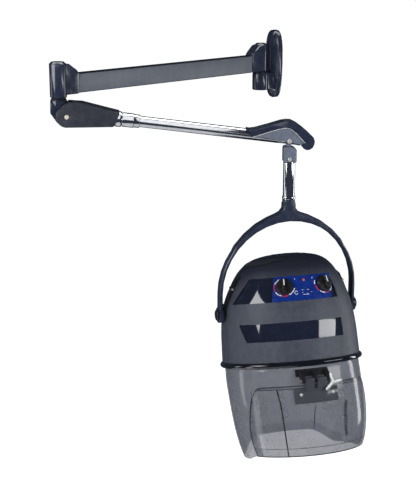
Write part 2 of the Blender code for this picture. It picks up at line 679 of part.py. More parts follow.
# --- yoke ---------------------------------------------------------------------------------
def make_yoke(yoke):
    """A U-shaped fork under a sleeve, with round ends about the tilt axis."""
    outer = [(x, YOKE_LEG + z) for x, z in arc((0, 0), YOKE_OUTER, 0, 36, 4)]
    outer += [(0.1490, 0.1835), (0.1220, 0.2135), (0.0900, 0.2385), (0.0600, 0.2540)]
    neck = [(0.0360, 0.2630), (0.0240, 0.2690), (0.0170, 0.2780), (0.0160, 0.2950)]
    right = [(YOKE_OUTER, -0.004)] + outer + neck
    inner = [(x, YOKE_LEG + z * 1.012) for x, z in arc((0, 0), YOKE_INNER, 0, 180, 18)]
    left = [(-x, z) for x, z in right]
    outline = right + left[::-1] + [(-YOKE_INNER, -0.004)] + inner[::-1] + [(YOKE_INNER, -0.004)]
    fork = bevel(extruded(outline, YOKE_DEPTH, "Y"), 0.003, 1, 50)
    sleeve = [(0, YOKE_TOP), (0.0150, YOKE_TOP), (0.0170, YOKE_TOP - 0.002), (0.0170, 0.272),
              (0.0140, 0.250), (0, 0.250)]
    mesh = join(fork, turned(sleeve, 20))
    ends = []
    for side in (-1, 1):
        low, high = sorted((side * (YOKE_INNER - 0.0003), side * (YOKE_OUTER + 0.0015)))
        ends.append(cylinder(0.0210, low, high, "X", sides=18))
    mesh = join(mesh, *ends)
    bore = cylinder(STEM_R + GAP, YOKE_TOP - 0.0305, YOKE_TOP + 0.1, sides=18)
    bolt = cylinder(BOLT_R + PIN_GAP, -0.3, 0.3, "X")
    add("yoke", smooth(cut(mesh, bore, bolt)), yoke, NAVY)
    for name, side in (("left", -1), ("right", 1)):
        shank = cylinder(BOLT_R, 0.1770, 0.1960, "X", round_by=0.0005)
        head = cylinder(0.0150, YOKE_OUTER + 0.0018, YOKE_OUTER + 0.0070, "X", round_by=0.0018)
        mesh = join(shank, head)
        if side < 0:
            mesh = moved(mesh, rotation=(0, 0, 180))
        add("pivot_bolt_" + name, smooth(mesh), yoke, BLACK_SATIN)


# --- hood shells --------------------------------------------------------------------------
def forward(height):
    """How far the hood's centre line runs forward at a height."""
    if height > CHAMBER_TOP:
        return table(DOME_SHIFT, height)
    return table(CHAMBER, height, 2)


def lean(mesh):
    """The mesh with each level moved forward to follow the hood's centre line."""
    for vert in mesh.vertices:
        vert.co.y -= forward(vert.co.z)
    return mesh


def dome_profile(inset=0.0):
    """The shell's outer profile, moved inwards, from top to bottom."""
    made = []
    for index, point in enumerate(DOME):
        before = DOME[max(index - 1, 0)]
        after = DOME[min(index + 1, len(DOME) - 1)]
        along = Vector((after[0] - before[0], after[1] - before[1])).normalized()
        made.append((point[0] + along.y * inset, point[1] - along.x * inset))
    return made


def dome_radius(height):
    return table([(z, r) for r, z in DOME], height)


def dome_point(azimuth, height, out=0.0):
    """A point on the dome and the outward direction there; azimuth 0 is the front."""
    rise = 0.004
    radius = dome_radius(height)
    slope = (dome_radius(height + rise) - dome_radius(height - rise)) / (2 * rise)
    angle = radians(azimuth)
    flat = Vector((sin(angle), -cos(angle), 0))
    slope += (forward(height + rise) - forward(height - rise)) / (2 * rise) * cos(angle)
    normal = (flat - Vector((0, 0, slope))).normalized()
    point = flat * radius + Vector((0, -forward(height), height))
    return point + normal * out, normal


def sector(azimuths, heights, out, columns=14, rows=6):
    """A patch of the dome; azimuths gives (left, right) for each height."""
    def place(i, j):
        height = heights[0] + (heights[1] - heights[0]) * j / rows
        left, right = azimuths(height)
        point, _ = dome_point(left + (right - left) * i / columns, height, out)
        return point
    return grid(columns, rows, place)


def make_shells(hood):
    """The matte shell in two halves; the front one has two windows."""
    front = lean(turned(dome_profile(), 16, 2 * SHELL_SPLIT, -90 - SHELL_SPLIT, SHELL))
    windows = [
        (lambda h: (-77 + 15 * (h - 0.025) / 0.063, 33), (0.025, 0.088)),
        (lambda h: (-57 - 8 * (h + 0.074) / 0.046, 31.5), (-0.074, -0.028)),
    ]
    tools = []
    for azimuths, heights in windows:
        tools.append(walled(sector(azimuths, heights, 0.004, 9, 2), 0.0125))
    add("front_shell", smooth(cut(front, *tools), 30), hood, MATTE)

    back_half = 180 - SHELL_SPLIT - 0.36
    back = turned(dome_profile(), 15, 2 * back_half, 90 - back_half, SHELL)
    add("back_shell", smooth(lean(back), 30), hood, MATTE)


def make_inner_dome(hood):
    profile = dome_profile(SHELL + 0.0012)[:-1:2]
    profile.append((profile[-1][0] + 0.0012, SHELL_BOTTOM))
    mesh = lean(turned(profile, 26, thickness=0.0025))
    tools = [along_knob(cylinder(0.0050, -0.03, 0.02), azimuth)
             for azimuth in (TIMER_AZ, THERMOSTAT_AZ)]
    add("inner_dome", smooth(cut(mesh, *tools), 30), hood, GLOSS_BLACK)

    vent = [(0, 0.1492), (0.0340, 0.1480), (0.0445, 0.1462), (0.0480, 0.1440),
            (0.0420, 0.1400), (0, 0.1400)]
    cap = turned(vent, 24)
    slots = []
    for turn in range(6):
        slot = box((0.030, 0.0045, 0.03), (0.026, 0, 0.144))
        slots.append(moved(slot, rotation=(0, 0, 60 * turn + 15)))
    add("top_vent_cap", smooth(lean(cut(cap, *slots))), hood, GLOSS_BLACK)


def along_knob(mesh, azimuth, height=KNOB_H):
    """A mesh built on +Z, stood on the dome at a knob's place."""
    point, normal = dome_point(azimuth, height)
    turn = normal.to_track_quat("Z", "Y").to_matrix().to_4x4()
    mesh.transform(Matrix.Translation(point) @ turn)
    return mesh


def panel_sides(height):
    """The control panel's left and right ends at a height."""
    return PANEL_LEFT, 23.5 + 9.7 * (height - PANEL_LOW) / (PANEL_HIGH - PANEL_LOW)


def make_panel(hood):
    plate = walled(sector(panel_sides, (PANEL_LOW, PANEL_HIGH), 0.0027, 10, 3), 0.0021)
    tools = [along_knob(cylinder(0.0050, -0.03, 0.02), azimuth)
             for azimuth in (TIMER_AZ, THERMOSTAT_AZ)]
    tools.append(along_knob(cylinder(0.0042, -0.03, 0.02), LAMP_AZ, LAMP_H))
    add("control_panel", smooth(cut(plate, *tools), 30), hood, BLUE)
    lens = [(0, 0.0040), (0.0030, 0.0030), (0.0038, 0.0), (0, 0)]
    add("indicator_lens", smooth(along_knob(turned(lens, 12), LAMP_AZ, LAMP_H)), hood, AMBER)

    for name, azimuth in (("timer_body", TIMER_AZ), ("thermostat_body", THERMOSTAT_AZ)):
        body = cylinder(0.0150, -0.0340, -0.0110, sides=18)
        shaft = cylinder(0.0030, -0.0120, 0.0082, sides=10)
        add(name, smooth(along_knob(join(body, shaft), azimuth)), hood, IVORY)


def make_ring(hood):
    profile = [(RING_R - 0.0075, RING_Z + 0.0072)]
    profile += [(RING_R + x, RING_Z + z) for x, z in arc((0, 0), 0.0072, 90, -90, 4)]
    profile += [(RING_R - 0.0075, RING_Z - 0.0072)]
    add("rim_ring", smooth(turned(profile, 32), 40), hood, GLOSS_BLACK)


def chamber_point(azimuth, height, out=0.0):
    """A point on the chamber's outer face; azimuth 0 is the front."""
    radius = table(CHAMBER, height) + out
    angle = radians(azimuth)
    return Vector((radius * sin(angle), -radius * cos(angle) - forward(height), height))


def rim_height(azimuth):
    """The chamber's lower rim, behind the visor: low at the sides, high at the neck."""
    back = 180 - abs(azimuth)
    if back <= NECK_HALF:
        return NECK_Z
    if back <= 61:
        share = (back - NECK_HALF) / (61 - NECK_HALF)
        return NECK_Z + (LOBE_Z - NECK_Z) * (3 * share ** 2 - 2 * share ** 3)
    share = min(max((104 - abs(azimuth) - 20) / 20, 0.0), 1.0)
    return LOBE_Z + (DOOR_BOTTOM - 0.002 - LOBE_Z) * (3 * share ** 2 - 2 * share ** 3)


def make_chamber(hood):
    """The smoked shell, open in front where the visor covers it."""
    front_edge = DOOR_HALF - 4
    azimuths = [-front_edge + 2 * front_edge * i / 12 for i in range(13)]
    azimuths += [front_edge + (360 - 2 * front_edge) * i / 24 for i in range(1, 24)]
    upper = 1
    lower = 5
    top_z = DOOR_TOP - 0.010

    def place(i, j):
        azimuth = azimuths[i]
        if azimuth > 180:
            azimuth -= 360
        if j <= upper:
            return chamber_point(azimuth, CHAMBER_TOP + (top_z - CHAMBER_TOP) * j / upper)
        if 0 < i < 12:
            return None
        share = (j - upper) / lower
        return chamber_point(azimuth, top_z + (rim_height(azimuth) - top_z) * share)

    mesh = grid(len(azimuths), upper + lower, place, closed=True)
    mesh.flip_normals()
    mesh = walled(mesh, 0.003)
    add("smoked_chamber", smooth(mesh, 40), hood, SMOKE)


def make_diffuser(hood):
    """The inner bowl that spreads the air, over the head."""
    profile = [(0.0, 0.054), (0.060, 0.049), (0.108, 0.029), (0.135, -0.001),
               (0.152, -0.050), (0.162, -0.105), (0.165, -0.1305),
               (RING_R - 0.0088, -0.1305)]
    bowl = turned(profile, 22, thickness=0.002)
    holes = []
    for turn in range(6):
        hole = cylinder(0.0085, -0.02, 0.05, centre=(0.084, 0, 0), sides=6)
        holes.append(moved(hole, (0, 0, 0.04), (0, 0, 60 * turn)))
    add("air_diffuser", smooth(cut(bowl, *holes)), hood, GRAY_PLASTIC)


# --- heat and air -------------------------------------------------------------------------
def make_works(hood):
    shift = -forward(MOTOR_PLATE_Z)
    plate = cylinder(0.1140, MOTOR_PLATE_Z, MOTOR_PLATE_Z + 0.0018, sides=28)
    tools = [cylinder(0.0052, 0, 0.2, sides=12)]
    for turn in range(6):
        tools.append(moved(cylinder(0.017, 0, 0.2, centre=(0.082, 0, 0), sides=8),
                           rotation=(0, 0, 60 * turn)))
    add("motor_plate", smooth(cut(plate, *tools)), hood, STEEL_GRAY, (0, shift, 0))
    motor = turned([(0, 0.0300), (0.018, 0.0300), (0.0250, 0.0255), (0.0260, 0.0220),
                    (0.0260, 0.0), (0, 0.0)], 20)
    motor = cut(motor, cylinder(0.0036, -0.01, 0.020))
    add("fan_motor", smooth(motor), hood, STEEL, (0, shift, MOTOR_PLATE_Z + 0.0021))

    points = []
    for step in range(41):
        angle = 2 * pi * 2.5 * step / 40
        radius = 0.052 + 0.042 * step / 40
        points.append((radius * cos(angle), radius * sin(angle), 0.0))
    add("heater_element", smooth(bent_tube(points, 0.0032, 0), 60), hood, HEATER,
        (0, 0, 0.0722))
    arms = [box((0.210, 0.0016, 0.0105), (0, 0, 0.0632)),
            box((0.0016, 0.210, 0.0105), (0, 0, 0.0632))]
    add("heater_frame", join(*arms), hood, MICA)


def make_fan(fan):
    """The centrifugal wheel, with its blades under a plate and the motor's shaft."""
    parts = [cylinder(0.056, 0.0175, 0.0192, sides=18),
             cylinder(0.0095, 0.0, 0.0192, sides=12),
             cylinder(0.0032, 0.010, 0.0400, sides=10)]
    for turn in range(8):
        blade = box((0.024, 0.0012, 0.0170), (0.042, 0, 0.0094))
        parts.append(moved(blade, rotation=(0, 0, 45 * turn)))
    add("fan_wheel", smooth(join(*parts)), fan, GRAY_PLASTIC)


# --- tilt brackets ------------------------------------------------------------------------
def make_tilt_brackets(hood):
    """Bent straps that carry the hood on the pivot bolts, each braced to the dome."""
    for name, side in (("left", -1), ("right", 1)):
        outline = offset_line(STRAP, -0.0015) + offset_line(STRAP, 0.0015)[::-1]
        strap = extruded([(side * x, z) for x, z in outline], 0.018, "Y")
        low, high = sorted((side * 0.1776, side * 0.1822))
        hub = cylinder(0.0180, low, high, "X")
        lugs = [cylinder(0.0042, -0.009, 0.009, "Y", (side * x, 0, z), sides=10)
                for x, z in LUGS]
        mesh = join(strap, hub, *lugs)
        mesh = moved(mesh, rotation=(HOOD_TILT, 0, 0))
        dome = lean(turned([(0, 0.1497)] + dome_profile(-0.0005) + [(0, SHELL_BOTTOM)], 31))
        bolt = cylinder(BOLT_R + PIN_GAP, -0.3, 0.3, "X")
        threads = []
        for x, z in LUGS:
            thread = cylinder(0.0019, -0.02, 0.0, "Y", (side * x, 0, z), sides=10)
            threads.append(moved(thread, rotation=(HOOD_TILT, 0, 0)))
        add("tilt_bracket_" + name, smooth(cut(mesh, dome, bolt, *threads)), hood, BLACK_SATIN)
        x, z = LUGS[0]
        place = Matrix.Rotation(radians(HOOD_TILT), 4, "X") @ Vector((side * x, -0.0093, z))
        add("bracket_screw_" + name, screw_mesh(0.0036, 0.0016, 0.007, 0.0022), hood, BRIGHT,
            place, (90 + HOOD_TILT, 0, 0))


# --- visor --------------------------------------------------------------------------------
def make_hinge_base(hood):
    """The fixed half of the visor's hinge: a foot on the chamber and three lugs."""
    foot = walled(chamber_patch((-18, 9), (-0.1478, -0.1660), 0.0050, 8, 1), 0.0047)
    lugs = [foot]
    for x in (-0.033, 0.0, 0.033):
        lug = [(-0.182, -0.152), (-0.193, -0.152), (HINGE_Y - 0.0068, HINGE_Z + 0.006)]
        lug += arc((HINGE_Y, HINGE_Z), 0.0074, 165, 330, 6)
        lug += [(-0.182, -0.168)]
        lugs.append(extruded(lug, 0.009, "X", HINGE_X + x))
    chamber = solid_chamber(GAP)
    pin = cylinder(HINGE_PIN_R + PIN_GAP, -0.1, 0.1, "X", (0, HINGE_Y, HINGE_Z), sides=12)
    add("visor_hinge_base", smooth(cut(join(*lugs), chamber, pin)), hood, BLACK_SATIN)
    pin = cylinder(HINGE_PIN_R, -0.039, 0.0460, "X", (HINGE_X, HINGE_Y, HINGE_Z), sides=12)
    add("visor_hinge_pin", smooth(pin), hood, STEEL)


def solid_chamber(out):
    """The chamber's outer shape as a closed solid, for fitting pieces against it."""
    levels = 8

    def place(i, j):
        height = CHAMBER_TOP + (-0.396 - CHAMBER_TOP) * j / levels
        return chamber_point(360 * i / 60, height, out)
    mesh = grid(60, levels, place, closed=True)
    work = bmesh.new()
    work.from_mesh(mesh)
    bmesh.ops.holes_fill(work, edges=work.edges, sides=0)
    bmesh.ops.recalc_face_normals(work, faces=work.faces)
    work.to_mesh(mesh)
    work.free()
    return mesh


def chamber_patch(azimuths, heights, out, columns, rows):
    low, high = sorted(heights)

    def place(i, j):
        return chamber_point(azimuths[0] + (azimuths[1] - azimuths[0]) * i / columns,
                             low + (high - low) * j / rows, out)
    return grid(columns, rows, place)


def in_door(mesh, door):
    """A mesh built in the hood's frame, moved to the visor's own origin."""
    return moved(mesh, (-door.location.x, -door.location.y, -door.location.z))


def make_visor(door):
    sheet = chamber_patch((-DOOR_HALF, DOOR_HALF), (DOOR_TOP, DOOR_BOTTOM), DOOR_OUT + 0.003,
                          16, 4)
    lip = chamber_patch((-DOOR_HALF + 2, DOOR_HALF - 2), (-0.3440, DOOR_BOTTOM + 0.001),
                        DOOR_OUT + 0.0060, 16, 1)
    mesh = join(walled(sheet, 0.003), walled(lip, 0.0045))
    add("visor_door", smooth(in_door(mesh, door), 40), door, SMOKE)

    plate = walled(chamber_patch((-21, 15.2), (-0.1960, -0.2330), DOOR_OUT + 0.0063, 8, 2),
                   0.0028)
    knuckles = []
    for x in (-0.0165, 0.0165):
        knuckle = [(HINGE_Y + 0.0100, -0.1900), (HINGE_Y + 0.0100, -0.2050),
                   (HINGE_Y - 0.0015, -0.2030)]
        knuckle += arc((HINGE_Y, HINGE_Z), 0.0068, 205, -30, 7)
        knuckles.append(extruded(knuckle, 0.0230, "X", HINGE_X + x))
    pin = cylinder(HINGE_PIN_R + PIN_GAP, -0.1, 0.1, "X", (0, HINGE_Y, HINGE_Z), sides=12)
    skin = walled(chamber_patch((-24, 18), (DOOR_TOP + 0.006, -0.240), DOOR_OUT + 0.0050,
                                10, 4), 0.02)
    body = join(plate, *[cut(knuckle, pin.copy(), skin.copy()) for knuckle in knuckles])
    add("visor_hinge_plate", smooth(in_door(body, door)), door, SMOKE)
    for name, azimuth in (("left", -15.5), ("right", 10.5)):
        place = chamber_point(azimuth, -0.2110, DOOR_OUT + 0.0067)
        screw = screw_mesh(0.0046, 0.0020, 0.0002, 0.0026)
        add("visor_screw_" + name, screw, door, BRIGHT,
            place - door.location, (82.6, 0, azimuth))


def make_latch(latch):
    """A chrome Y-shaped lever on the hinge pin's end, carried by the visor."""
    pivot = DOOR.location
    hub = cylinder(0.0066, 0.0382, 0.0430, "X", (HINGE_X, HINGE_Y, HINGE_Z))
    hub.transform(Matrix.Translation(-pivot))
    start = Vector((HINGE_X + 0.0406, HINGE_Y, HINGE_Z))
    fork = start + Vector((0.009, -0.010, -0.014))
    arms = [[start + Vector((0.0, -0.006, 0.011)), start + Vector((0.001, -0.007, 0.0)), fork],
            [fork, start + Vector((0.034, -0.004, -0.012))],
            [fork, start + Vector((-0.008, -0.011, -0.028))]]
    bars = [moved(bent_tube([tuple(point) for point in points], 0.0030), -pivot)
            for points in arms]
    knot = mesh_from(lambda work: bmesh.ops.create_uvsphere(
        work, u_segments=10, v_segments=6, radius=0.0038,
        matrix=Matrix.Translation(fork - pivot)))
    mesh = join(hub, *bars, knot)
    pin = cylinder(HINGE_PIN_R + PIN_GAP, -0.1, 0.1, "X", sides=12)
    add("latch_lever", smooth(cut(mesh, pin)), latch, CHROME)


# --- knobs --------------------------------------------------------------------------------
def make_knob(name, knob):
    """A round black knob with a raised grip, built on +Z from the panel's face."""
    body = turned([(0, 0.0090), (0.0190, 0.0090), (0.0208, 0.0070), (0.0215, 0.0), (0, 0.0)],
                  24)
    grip = box((0.0088, 0.0380, 0.0110), (0, 0, 0.0130), 0.0022, 1)
    bore = cylinder(0.0037, -0.01, 0.0060, sides=10)
    add(name, smooth(cut(join(body, grip), bore)), knob, BLACK_SATIN)


# --- assembly -----------------------------------------------------------------------------
clear_scene()
PARTS = collection(COLLECTION)
CUTTERS = collection("cutters")

NAVY = material("navy_plastic", (0.022, 0.026, 0.045), 0.28)
BLACK_SATIN = material("satin_black", (0.016, 0.017, 0.026), 0.35)
BAR_GRAY = material("gray_enamel", (0.115, 0.130, 0.160), 0.40)
MATTE = material("matte_gray", (0.095, 0.108, 0.135), 0.62)
GLOSS_BLACK = material("gloss_black", (0.006, 0.007, 0.010), 0.06)
GRAY_PLASTIC = material("gray_plastic", (0.20, 0.21, 0.23), 0.50)
SLATE = material("slate_paint", (0.065, 0.085, 0.125), 0.40)
CHROME = material("chrome", (0.80, 0.82, 0.85), 0.12, 1.0)
SILVER = material("silver_trim", (0.62, 0.64, 0.68), 0.25, 1.0)
BRIGHT = material("bright_steel", (0.85, 0.86, 0.88), 0.22, 1.0)
STEEL = material("steel", (0.52, 0.53, 0.55), 0.35, 1.0)
STEEL_GRAY = material("gray_steel", (0.12, 0.13, 0.15), 0.45, 0.3)
BRASS = material("brass", (0.62, 0.47, 0.22), 0.35, 1.0)
IVORY = material("ivory_plastic", (0.78, 0.74, 0.62), 0.45)
BLUE = material("blue_panel", (0.012, 0.045, 0.30), 0.30)
AMBER = material("amber_lens", (0.75, 0.16, 0.04), 0.20)
HEATER = material("heater_metal", (0.35, 0.33, 0.32), 0.45, 1.0)
MICA = material("mica", (0.55, 0.50, 0.42), 0.60)
SMOKE = material("smoked_plastic", (0.20, 0.22, 0.26), 0.12, 0.0, 0.55)

WALL = empty("wall_frame")
ARM1 = empty("wall_swivel_axis", WALL, (0, -WALL_HINGE_OUT, 0), (0, 0, BAR_YAW))
ELBOW = empty("elbow_swivel_axis", ARM1, (0, -BAR_LENGTH, 0), (0, 0, ARM_YAW - BAR_YAW))
LIFT = empty("arm_lift_axis", ELBOW, (0, -PIN_REACH, -PIN_DROP), (ARM_SLOPE, 0, 0))

def hanger_on_arm():
    """The hanger pivot's place in the arm's own frame."""
    turn = Matrix.Rotation(radians(-ARM_SLOPE), 3, "X")
    return turn @ Vector((0, -ARM_REACH + HANGER_BACK, -(HANGER_DROP - PIN_DROP)))


END = empty("arm_end", LIFT, Matrix.Rotation(radians(-ARM_SLOPE), 3, "X")
            @ Vector((0, -ARM_REACH, -(HANGER_DROP - PIN_DROP))), (-ARM_SLOPE, 0, 0))
HANGER = empty("hanger_frame", END)
YOKE = empty("yoke_swivel_axis", HANGER, (0, 0, HANGER_DROP - TILT_DROP),
             (0, 0, HOOD_YAW - ARM_YAW))
HOOD = empty("hood_tilt_axis", YOKE, (0, 0, 0), (-HOOD_TILT, 0, 0))
FAN = empty("fan_axis", HOOD, (0, -forward(MOTOR_PLATE_Z), MOTOR_PLATE_Z - 0.0207))
DOOR = empty("visor_hinge_axis", HOOD, (HINGE_X, HINGE_Y, HINGE_Z))
LATCH = empty("latch_axis", DOOR)
KNOBS = {}
for knob_name, knob_azimuth in (("timer_knob", TIMER_AZ),
                                ("temperature_knob", THERMOSTAT_AZ)):
    knob_point, knob_normal = dome_point(knob_azimuth, KNOB_H, 0.0034)
    KNOBS[knob_name] = empty(knob_name + "_axis", HOOD, knob_point)
    KNOBS[knob_name].rotation_euler = knob_normal.to_track_quat("Z", "Y").to_euler()

make_wall_bracket(WALL)
make_wall_screws(WALL)
make_wall_cover(WALL)
make_swing_bar(ARM1)
make_elbow(ELBOW)
make_elbow_cover(LIFT)
make_arm_tube(LIFT)
make_balance_spring(LIFT)
make_arm_end(END)
make_hanger(HANGER)
make_yoke(YOKE)
make_shells(HOOD)
make_inner_dome(HOOD)
make_panel(HOOD)
make_ring(HOOD)
make_chamber(HOOD)
make_diffuser(HOOD)
make_works(HOOD)
make_fan(FAN)
make_tilt_brackets(HOOD)
make_hinge_base(HOOD)
make_visor(DOOR)
make_latch(LATCH)
for knob_name, knob_axis in KNOBS.items():
    make_knob(knob_name, knob_axis)
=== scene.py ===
"""Looks of a wall-mounted hood hair dryer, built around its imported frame. Lengths are in metres."""
import json
from math import cos, pi, radians, sin

import bmesh
import bpy
from mathutils import Matrix, Vector


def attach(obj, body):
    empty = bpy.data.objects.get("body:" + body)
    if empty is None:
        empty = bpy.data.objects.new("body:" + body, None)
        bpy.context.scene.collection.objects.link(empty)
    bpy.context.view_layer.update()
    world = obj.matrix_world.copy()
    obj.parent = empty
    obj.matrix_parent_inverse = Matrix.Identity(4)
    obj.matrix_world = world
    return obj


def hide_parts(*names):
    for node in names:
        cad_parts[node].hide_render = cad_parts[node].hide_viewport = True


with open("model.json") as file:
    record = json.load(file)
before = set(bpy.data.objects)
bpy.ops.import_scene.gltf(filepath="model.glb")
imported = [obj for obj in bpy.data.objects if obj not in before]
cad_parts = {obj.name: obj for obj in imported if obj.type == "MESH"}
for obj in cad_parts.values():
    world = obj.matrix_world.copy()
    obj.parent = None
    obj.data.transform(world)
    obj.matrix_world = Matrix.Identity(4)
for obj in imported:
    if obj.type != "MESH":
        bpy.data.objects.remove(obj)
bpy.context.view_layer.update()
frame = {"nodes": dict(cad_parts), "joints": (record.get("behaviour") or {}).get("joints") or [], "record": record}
NODES = frame["nodes"]
scene = bpy.context.scene

# --- places in the frame ------------------------------------------------------------------
TILT_POINT = Vector((0.427136, -0.323633, -0.599))
HOOD_TURN = Matrix.Rotation(radians(69), 4, "Z")
HOOD_LEAN = Matrix.Rotation(radians(-16.5), 4, "X")
HOOD = Matrix.Translation(TILT_POINT) @ HOOD_TURN @ HOOD_LEAN
VIEW_TURN = radians(52)
VIEW_DROP = radians(15)
VIEW = Vector((-sin(VIEW_TURN) * cos(VIEW_DROP), cos(VIEW_TURN) * cos(VIEW_DROP), -sin(VIEW_DROP)))
CAMERA_AIM = Vector((0.333, -0.518, -0.424))
CAMERA_DISTANCE = 3.0
CAMERA_AT = CAMERA_AIM - CAMERA_DISTANCE * VIEW

# The seam is the height where the dome's skin ends and the smoked chamber's begins.
SEAM = -0.1425
# Rows of (height, outer radius) and (height, forward shift of the centre), for the dome and the chamber.
DOME = [(0.1462, 0.049), (0.1405, 0.078), (0.1295, 0.103), (0.111, 0.124), (0.091, 0.138), (0.068, 0.150),
        (0.047, 0.160), (0.026, 0.168), (0.004, 0.1735), (-0.024, 0.178), (-0.055, 0.1810), (-0.090, 0.1826),
        (-0.127, 0.184)]
DOME_SHIFT = [(0.149, 0.024), (0.100, 0.011), (0.050, 0.003), (0.000, 0.000), (SEAM, 0.000)]
CHAMBER = [(SEAM, 0.1785), (-0.178, 0.1797), (-0.215, 0.1787), (-0.250, 0.1772), (-0.304, 0.1722),
           (-0.352, 0.1627), (-0.396, 0.147)]
CHAMBER_SHIFT = [(SEAM, 0.002), (-0.178, 0.006), (-0.215, 0.012), (-0.250, 0.018), (-0.304, 0.024),
                 (-0.352, 0.025), (-0.396, 0.018)]
KNOB_AT = {"timer": -21.0, "temperature": 18.8}
KNOB_H = 0.0605
DOME_DEPTH = -0.0042              # the gloss dome's face, from the hood's outer skin
DOOR_OUT = 0.0049                 # the visor door's outer face, from the chamber's
DEGREES = 57.2958                 # in one radian
DEGREE_SPAN = 0.00309             # metres of skin in one degree of azimuth, near the visor


def table(rows, x):
    """Smooth value at x from rows of (x, value), through every row."""
    rows = sorted(rows)
    if x <= rows[0][0]:
        return rows[0][1]
    if x >= rows[-1][0]:
        return rows[-1][1]
    slopes = []
    for i in range(len(rows)):
        a = rows[max(i - 1, 0)]
        b = rows[min(i + 1, len(rows) - 1)]
        slopes.append((b[1] - a[1]) / (b[0] - a[0]))
    for i in range(len(rows) - 1):
        x0, y0 = rows[i]
        x1, y1 = rows[i + 1]
        if x <= x1:
            d = x1 - x0
            t = (x - x0) / d
            return ((2 * t ** 3 - 3 * t ** 2 + 1) * y0 + (t ** 3 - 2 * t ** 2 + t) * d * slopes[i]
                    + (3 * t ** 2 - 2 * t ** 3) * y1 + (t ** 3 - t ** 2) * d * slopes[i + 1])
    return rows[-1][1]


def skin(azimuth, height, out=0.0):
    """Point on the hood's outer skin in the hood's own axes. Azimuth 0 is the front, positive on +X."""
    a = radians(azimuth)
    if height > SEAM:
        radius, forward = table(DOME, height), table(DOME_SHIFT, height)
    else:
        radius, forward = table(CHAMBER, height), table(CHAMBER_SHIFT, height)
    return Vector(((radius + out) * sin(a), -(radius + out) * cos(a) - forward, height))


def skin_normal(azimuth, height):
    side = skin(azimuth + 0.5, height) - skin(azimuth - 0.5, height)
    up = skin(azimuth, height + 0.001) - skin(azimuth, height - 0.001)
    normal = side.cross(up)
    return normal.normalized()


def off(azimuth, height, distance):
    """Point at a distance square to the skin."""
    return skin(azimuth, height) + skin_normal(azimuth, height) * distance


# --- materials ----------------------------------------------------------------------------
def new_material(name):
    made = bpy.data.materials.new(name)
    made.use_nodes = True
    tree = made.node_tree
    shader = tree.nodes["Principled BSDF"]
    return made, tree, shader


def variation(tree, shader, dark, light, scale, rough_low, rough_high, bump, bump_scale):
    """Mottled colour and roughness, and a fine surface bump, from the object's own coordinates."""
    place = tree.nodes.new("ShaderNodeTexCoord")
    source = place.outputs["Object"]
    noise = tree.nodes.new("ShaderNodeTexNoise")
    noise.inputs["Scale"].default_value = scale
    noise.inputs["Detail"].default_value = 5
    noise.inputs["Roughness"].default_value = 0.6
    tree.links.new(source, noise.inputs["Vector"])
    ramp = tree.nodes.new("ShaderNodeValToRGB")
    ramp.color_ramp.elements[0].position = 0.35
    ramp.color_ramp.elements[0].color = (*dark, 1)
    ramp.color_ramp.elements[1].position = 0.65
    ramp.color_ramp.elements[1].color = (*light, 1)
    tree.links.new(noise.outputs["Fac"], ramp.inputs["Fac"])
    tree.links.new(ramp.outputs["Color"], shader.inputs["Base Color"])
    spread = tree.nodes.new("ShaderNodeMapRange")
    spread.inputs["From Min"].default_value = 0.3
    spread.inputs["From Max"].default_value = 0.7
    spread.inputs["To Min"].default_value = rough_low
    spread.inputs["To Max"].default_value = rough_high
    tree.links.new(noise.outputs["Fac"], spread.inputs["Value"])
    tree.links.new(spread.outputs["Result"], shader.inputs["Roughness"])
    grain = tree.nodes.new("ShaderNodeTexNoise")
    grain.inputs["Scale"].default_value = bump_scale
    grain.inputs["Detail"].default_value = 3
    tree.links.new(source, grain.inputs["Vector"])
    relief = tree.nodes.new("ShaderNodeBump")
    relief.inputs["Strength"].default_value = bump
    relief.inputs["Distance"].default_value = 0.0004
    tree.links.new(grain.outputs["Fac"], relief.inputs["Height"])
    tree.links.new(relief.outputs["Normal"], shader.inputs["Normal"])


def plastic(name, dark, light, rough, scale=60, bump=0.08, bump_scale=1400, coat=0.0, specular=0.5):
    made, tree, shader = new_material(name)
    variation(tree, shader, dark, light, scale, rough[0], rough[1], bump, bump_scale)
    shader.inputs["Specular IOR Level"].default_value = specular
    shader.inputs["Coat Weight"].default_value = coat
    shader.inputs["Coat Roughness"].default_value = 0.06
    return made


def metal(name, dark, light, rough, scale=80, bump=0.05, bump_scale=900, metallic=1.0):
    made, tree, shader = new_material(name)
    shader.inputs["Metallic"].default_value = metallic
    variation(tree, shader, dark, light, scale, rough[0], rough[1], bump, bump_scale)
    return made


def clear(name, colour, alpha, rough=0.06):
    """Smoked clear plastic: a thin dark film that lets the inside show."""
    made, tree, shader = new_material(name)
    variation(tree, shader, tuple(c * 0.85 for c in colour), colour, 30, rough, rough + 0.05, 0.02, 600)
    shader.inputs["Alpha"].default_value = alpha
    shader.inputs["Specular IOR Level"].default_value = 0.6
    made.surface_render_method = "BLENDED"
    return made


NAVY = plastic("navy_gloss", (0.017, 0.022, 0.042), (0.026, 0.033, 0.058), (0.14, 0.22), coat=0.5, bump=0.01)
YOKE_NAVY = plastic("yoke_plastic", (0.022, 0.029, 0.054), (0.034, 0.044, 0.076), (0.28, 0.38),
                    coat=0.3, bump=0.03)
SATIN = plastic("satin_black", (0.010, 0.010, 0.011), (0.018, 0.018, 0.020), (0.34, 0.48))
STEEL_BLACK = plastic("blackened_steel", (0.012, 0.012, 0.013), (0.026, 0.026, 0.028), (0.3, 0.42),
                      specular=0.7)
ENAMEL = plastic("bar_enamel", (0.125, 0.140, 0.170), (0.155, 0.172, 0.205), (0.38, 0.5), scale=25)
MATTE = plastic("shell_matte_gray", (0.058, 0.065, 0.086), (0.078, 0.087, 0.114), (0.42, 0.54), bump=0.20)
PIANO = plastic("dome_gloss_black", (0.010, 0.014, 0.030), (0.015, 0.020, 0.040), (0.04, 0.08),
                coat=1.0, bump=0.0)
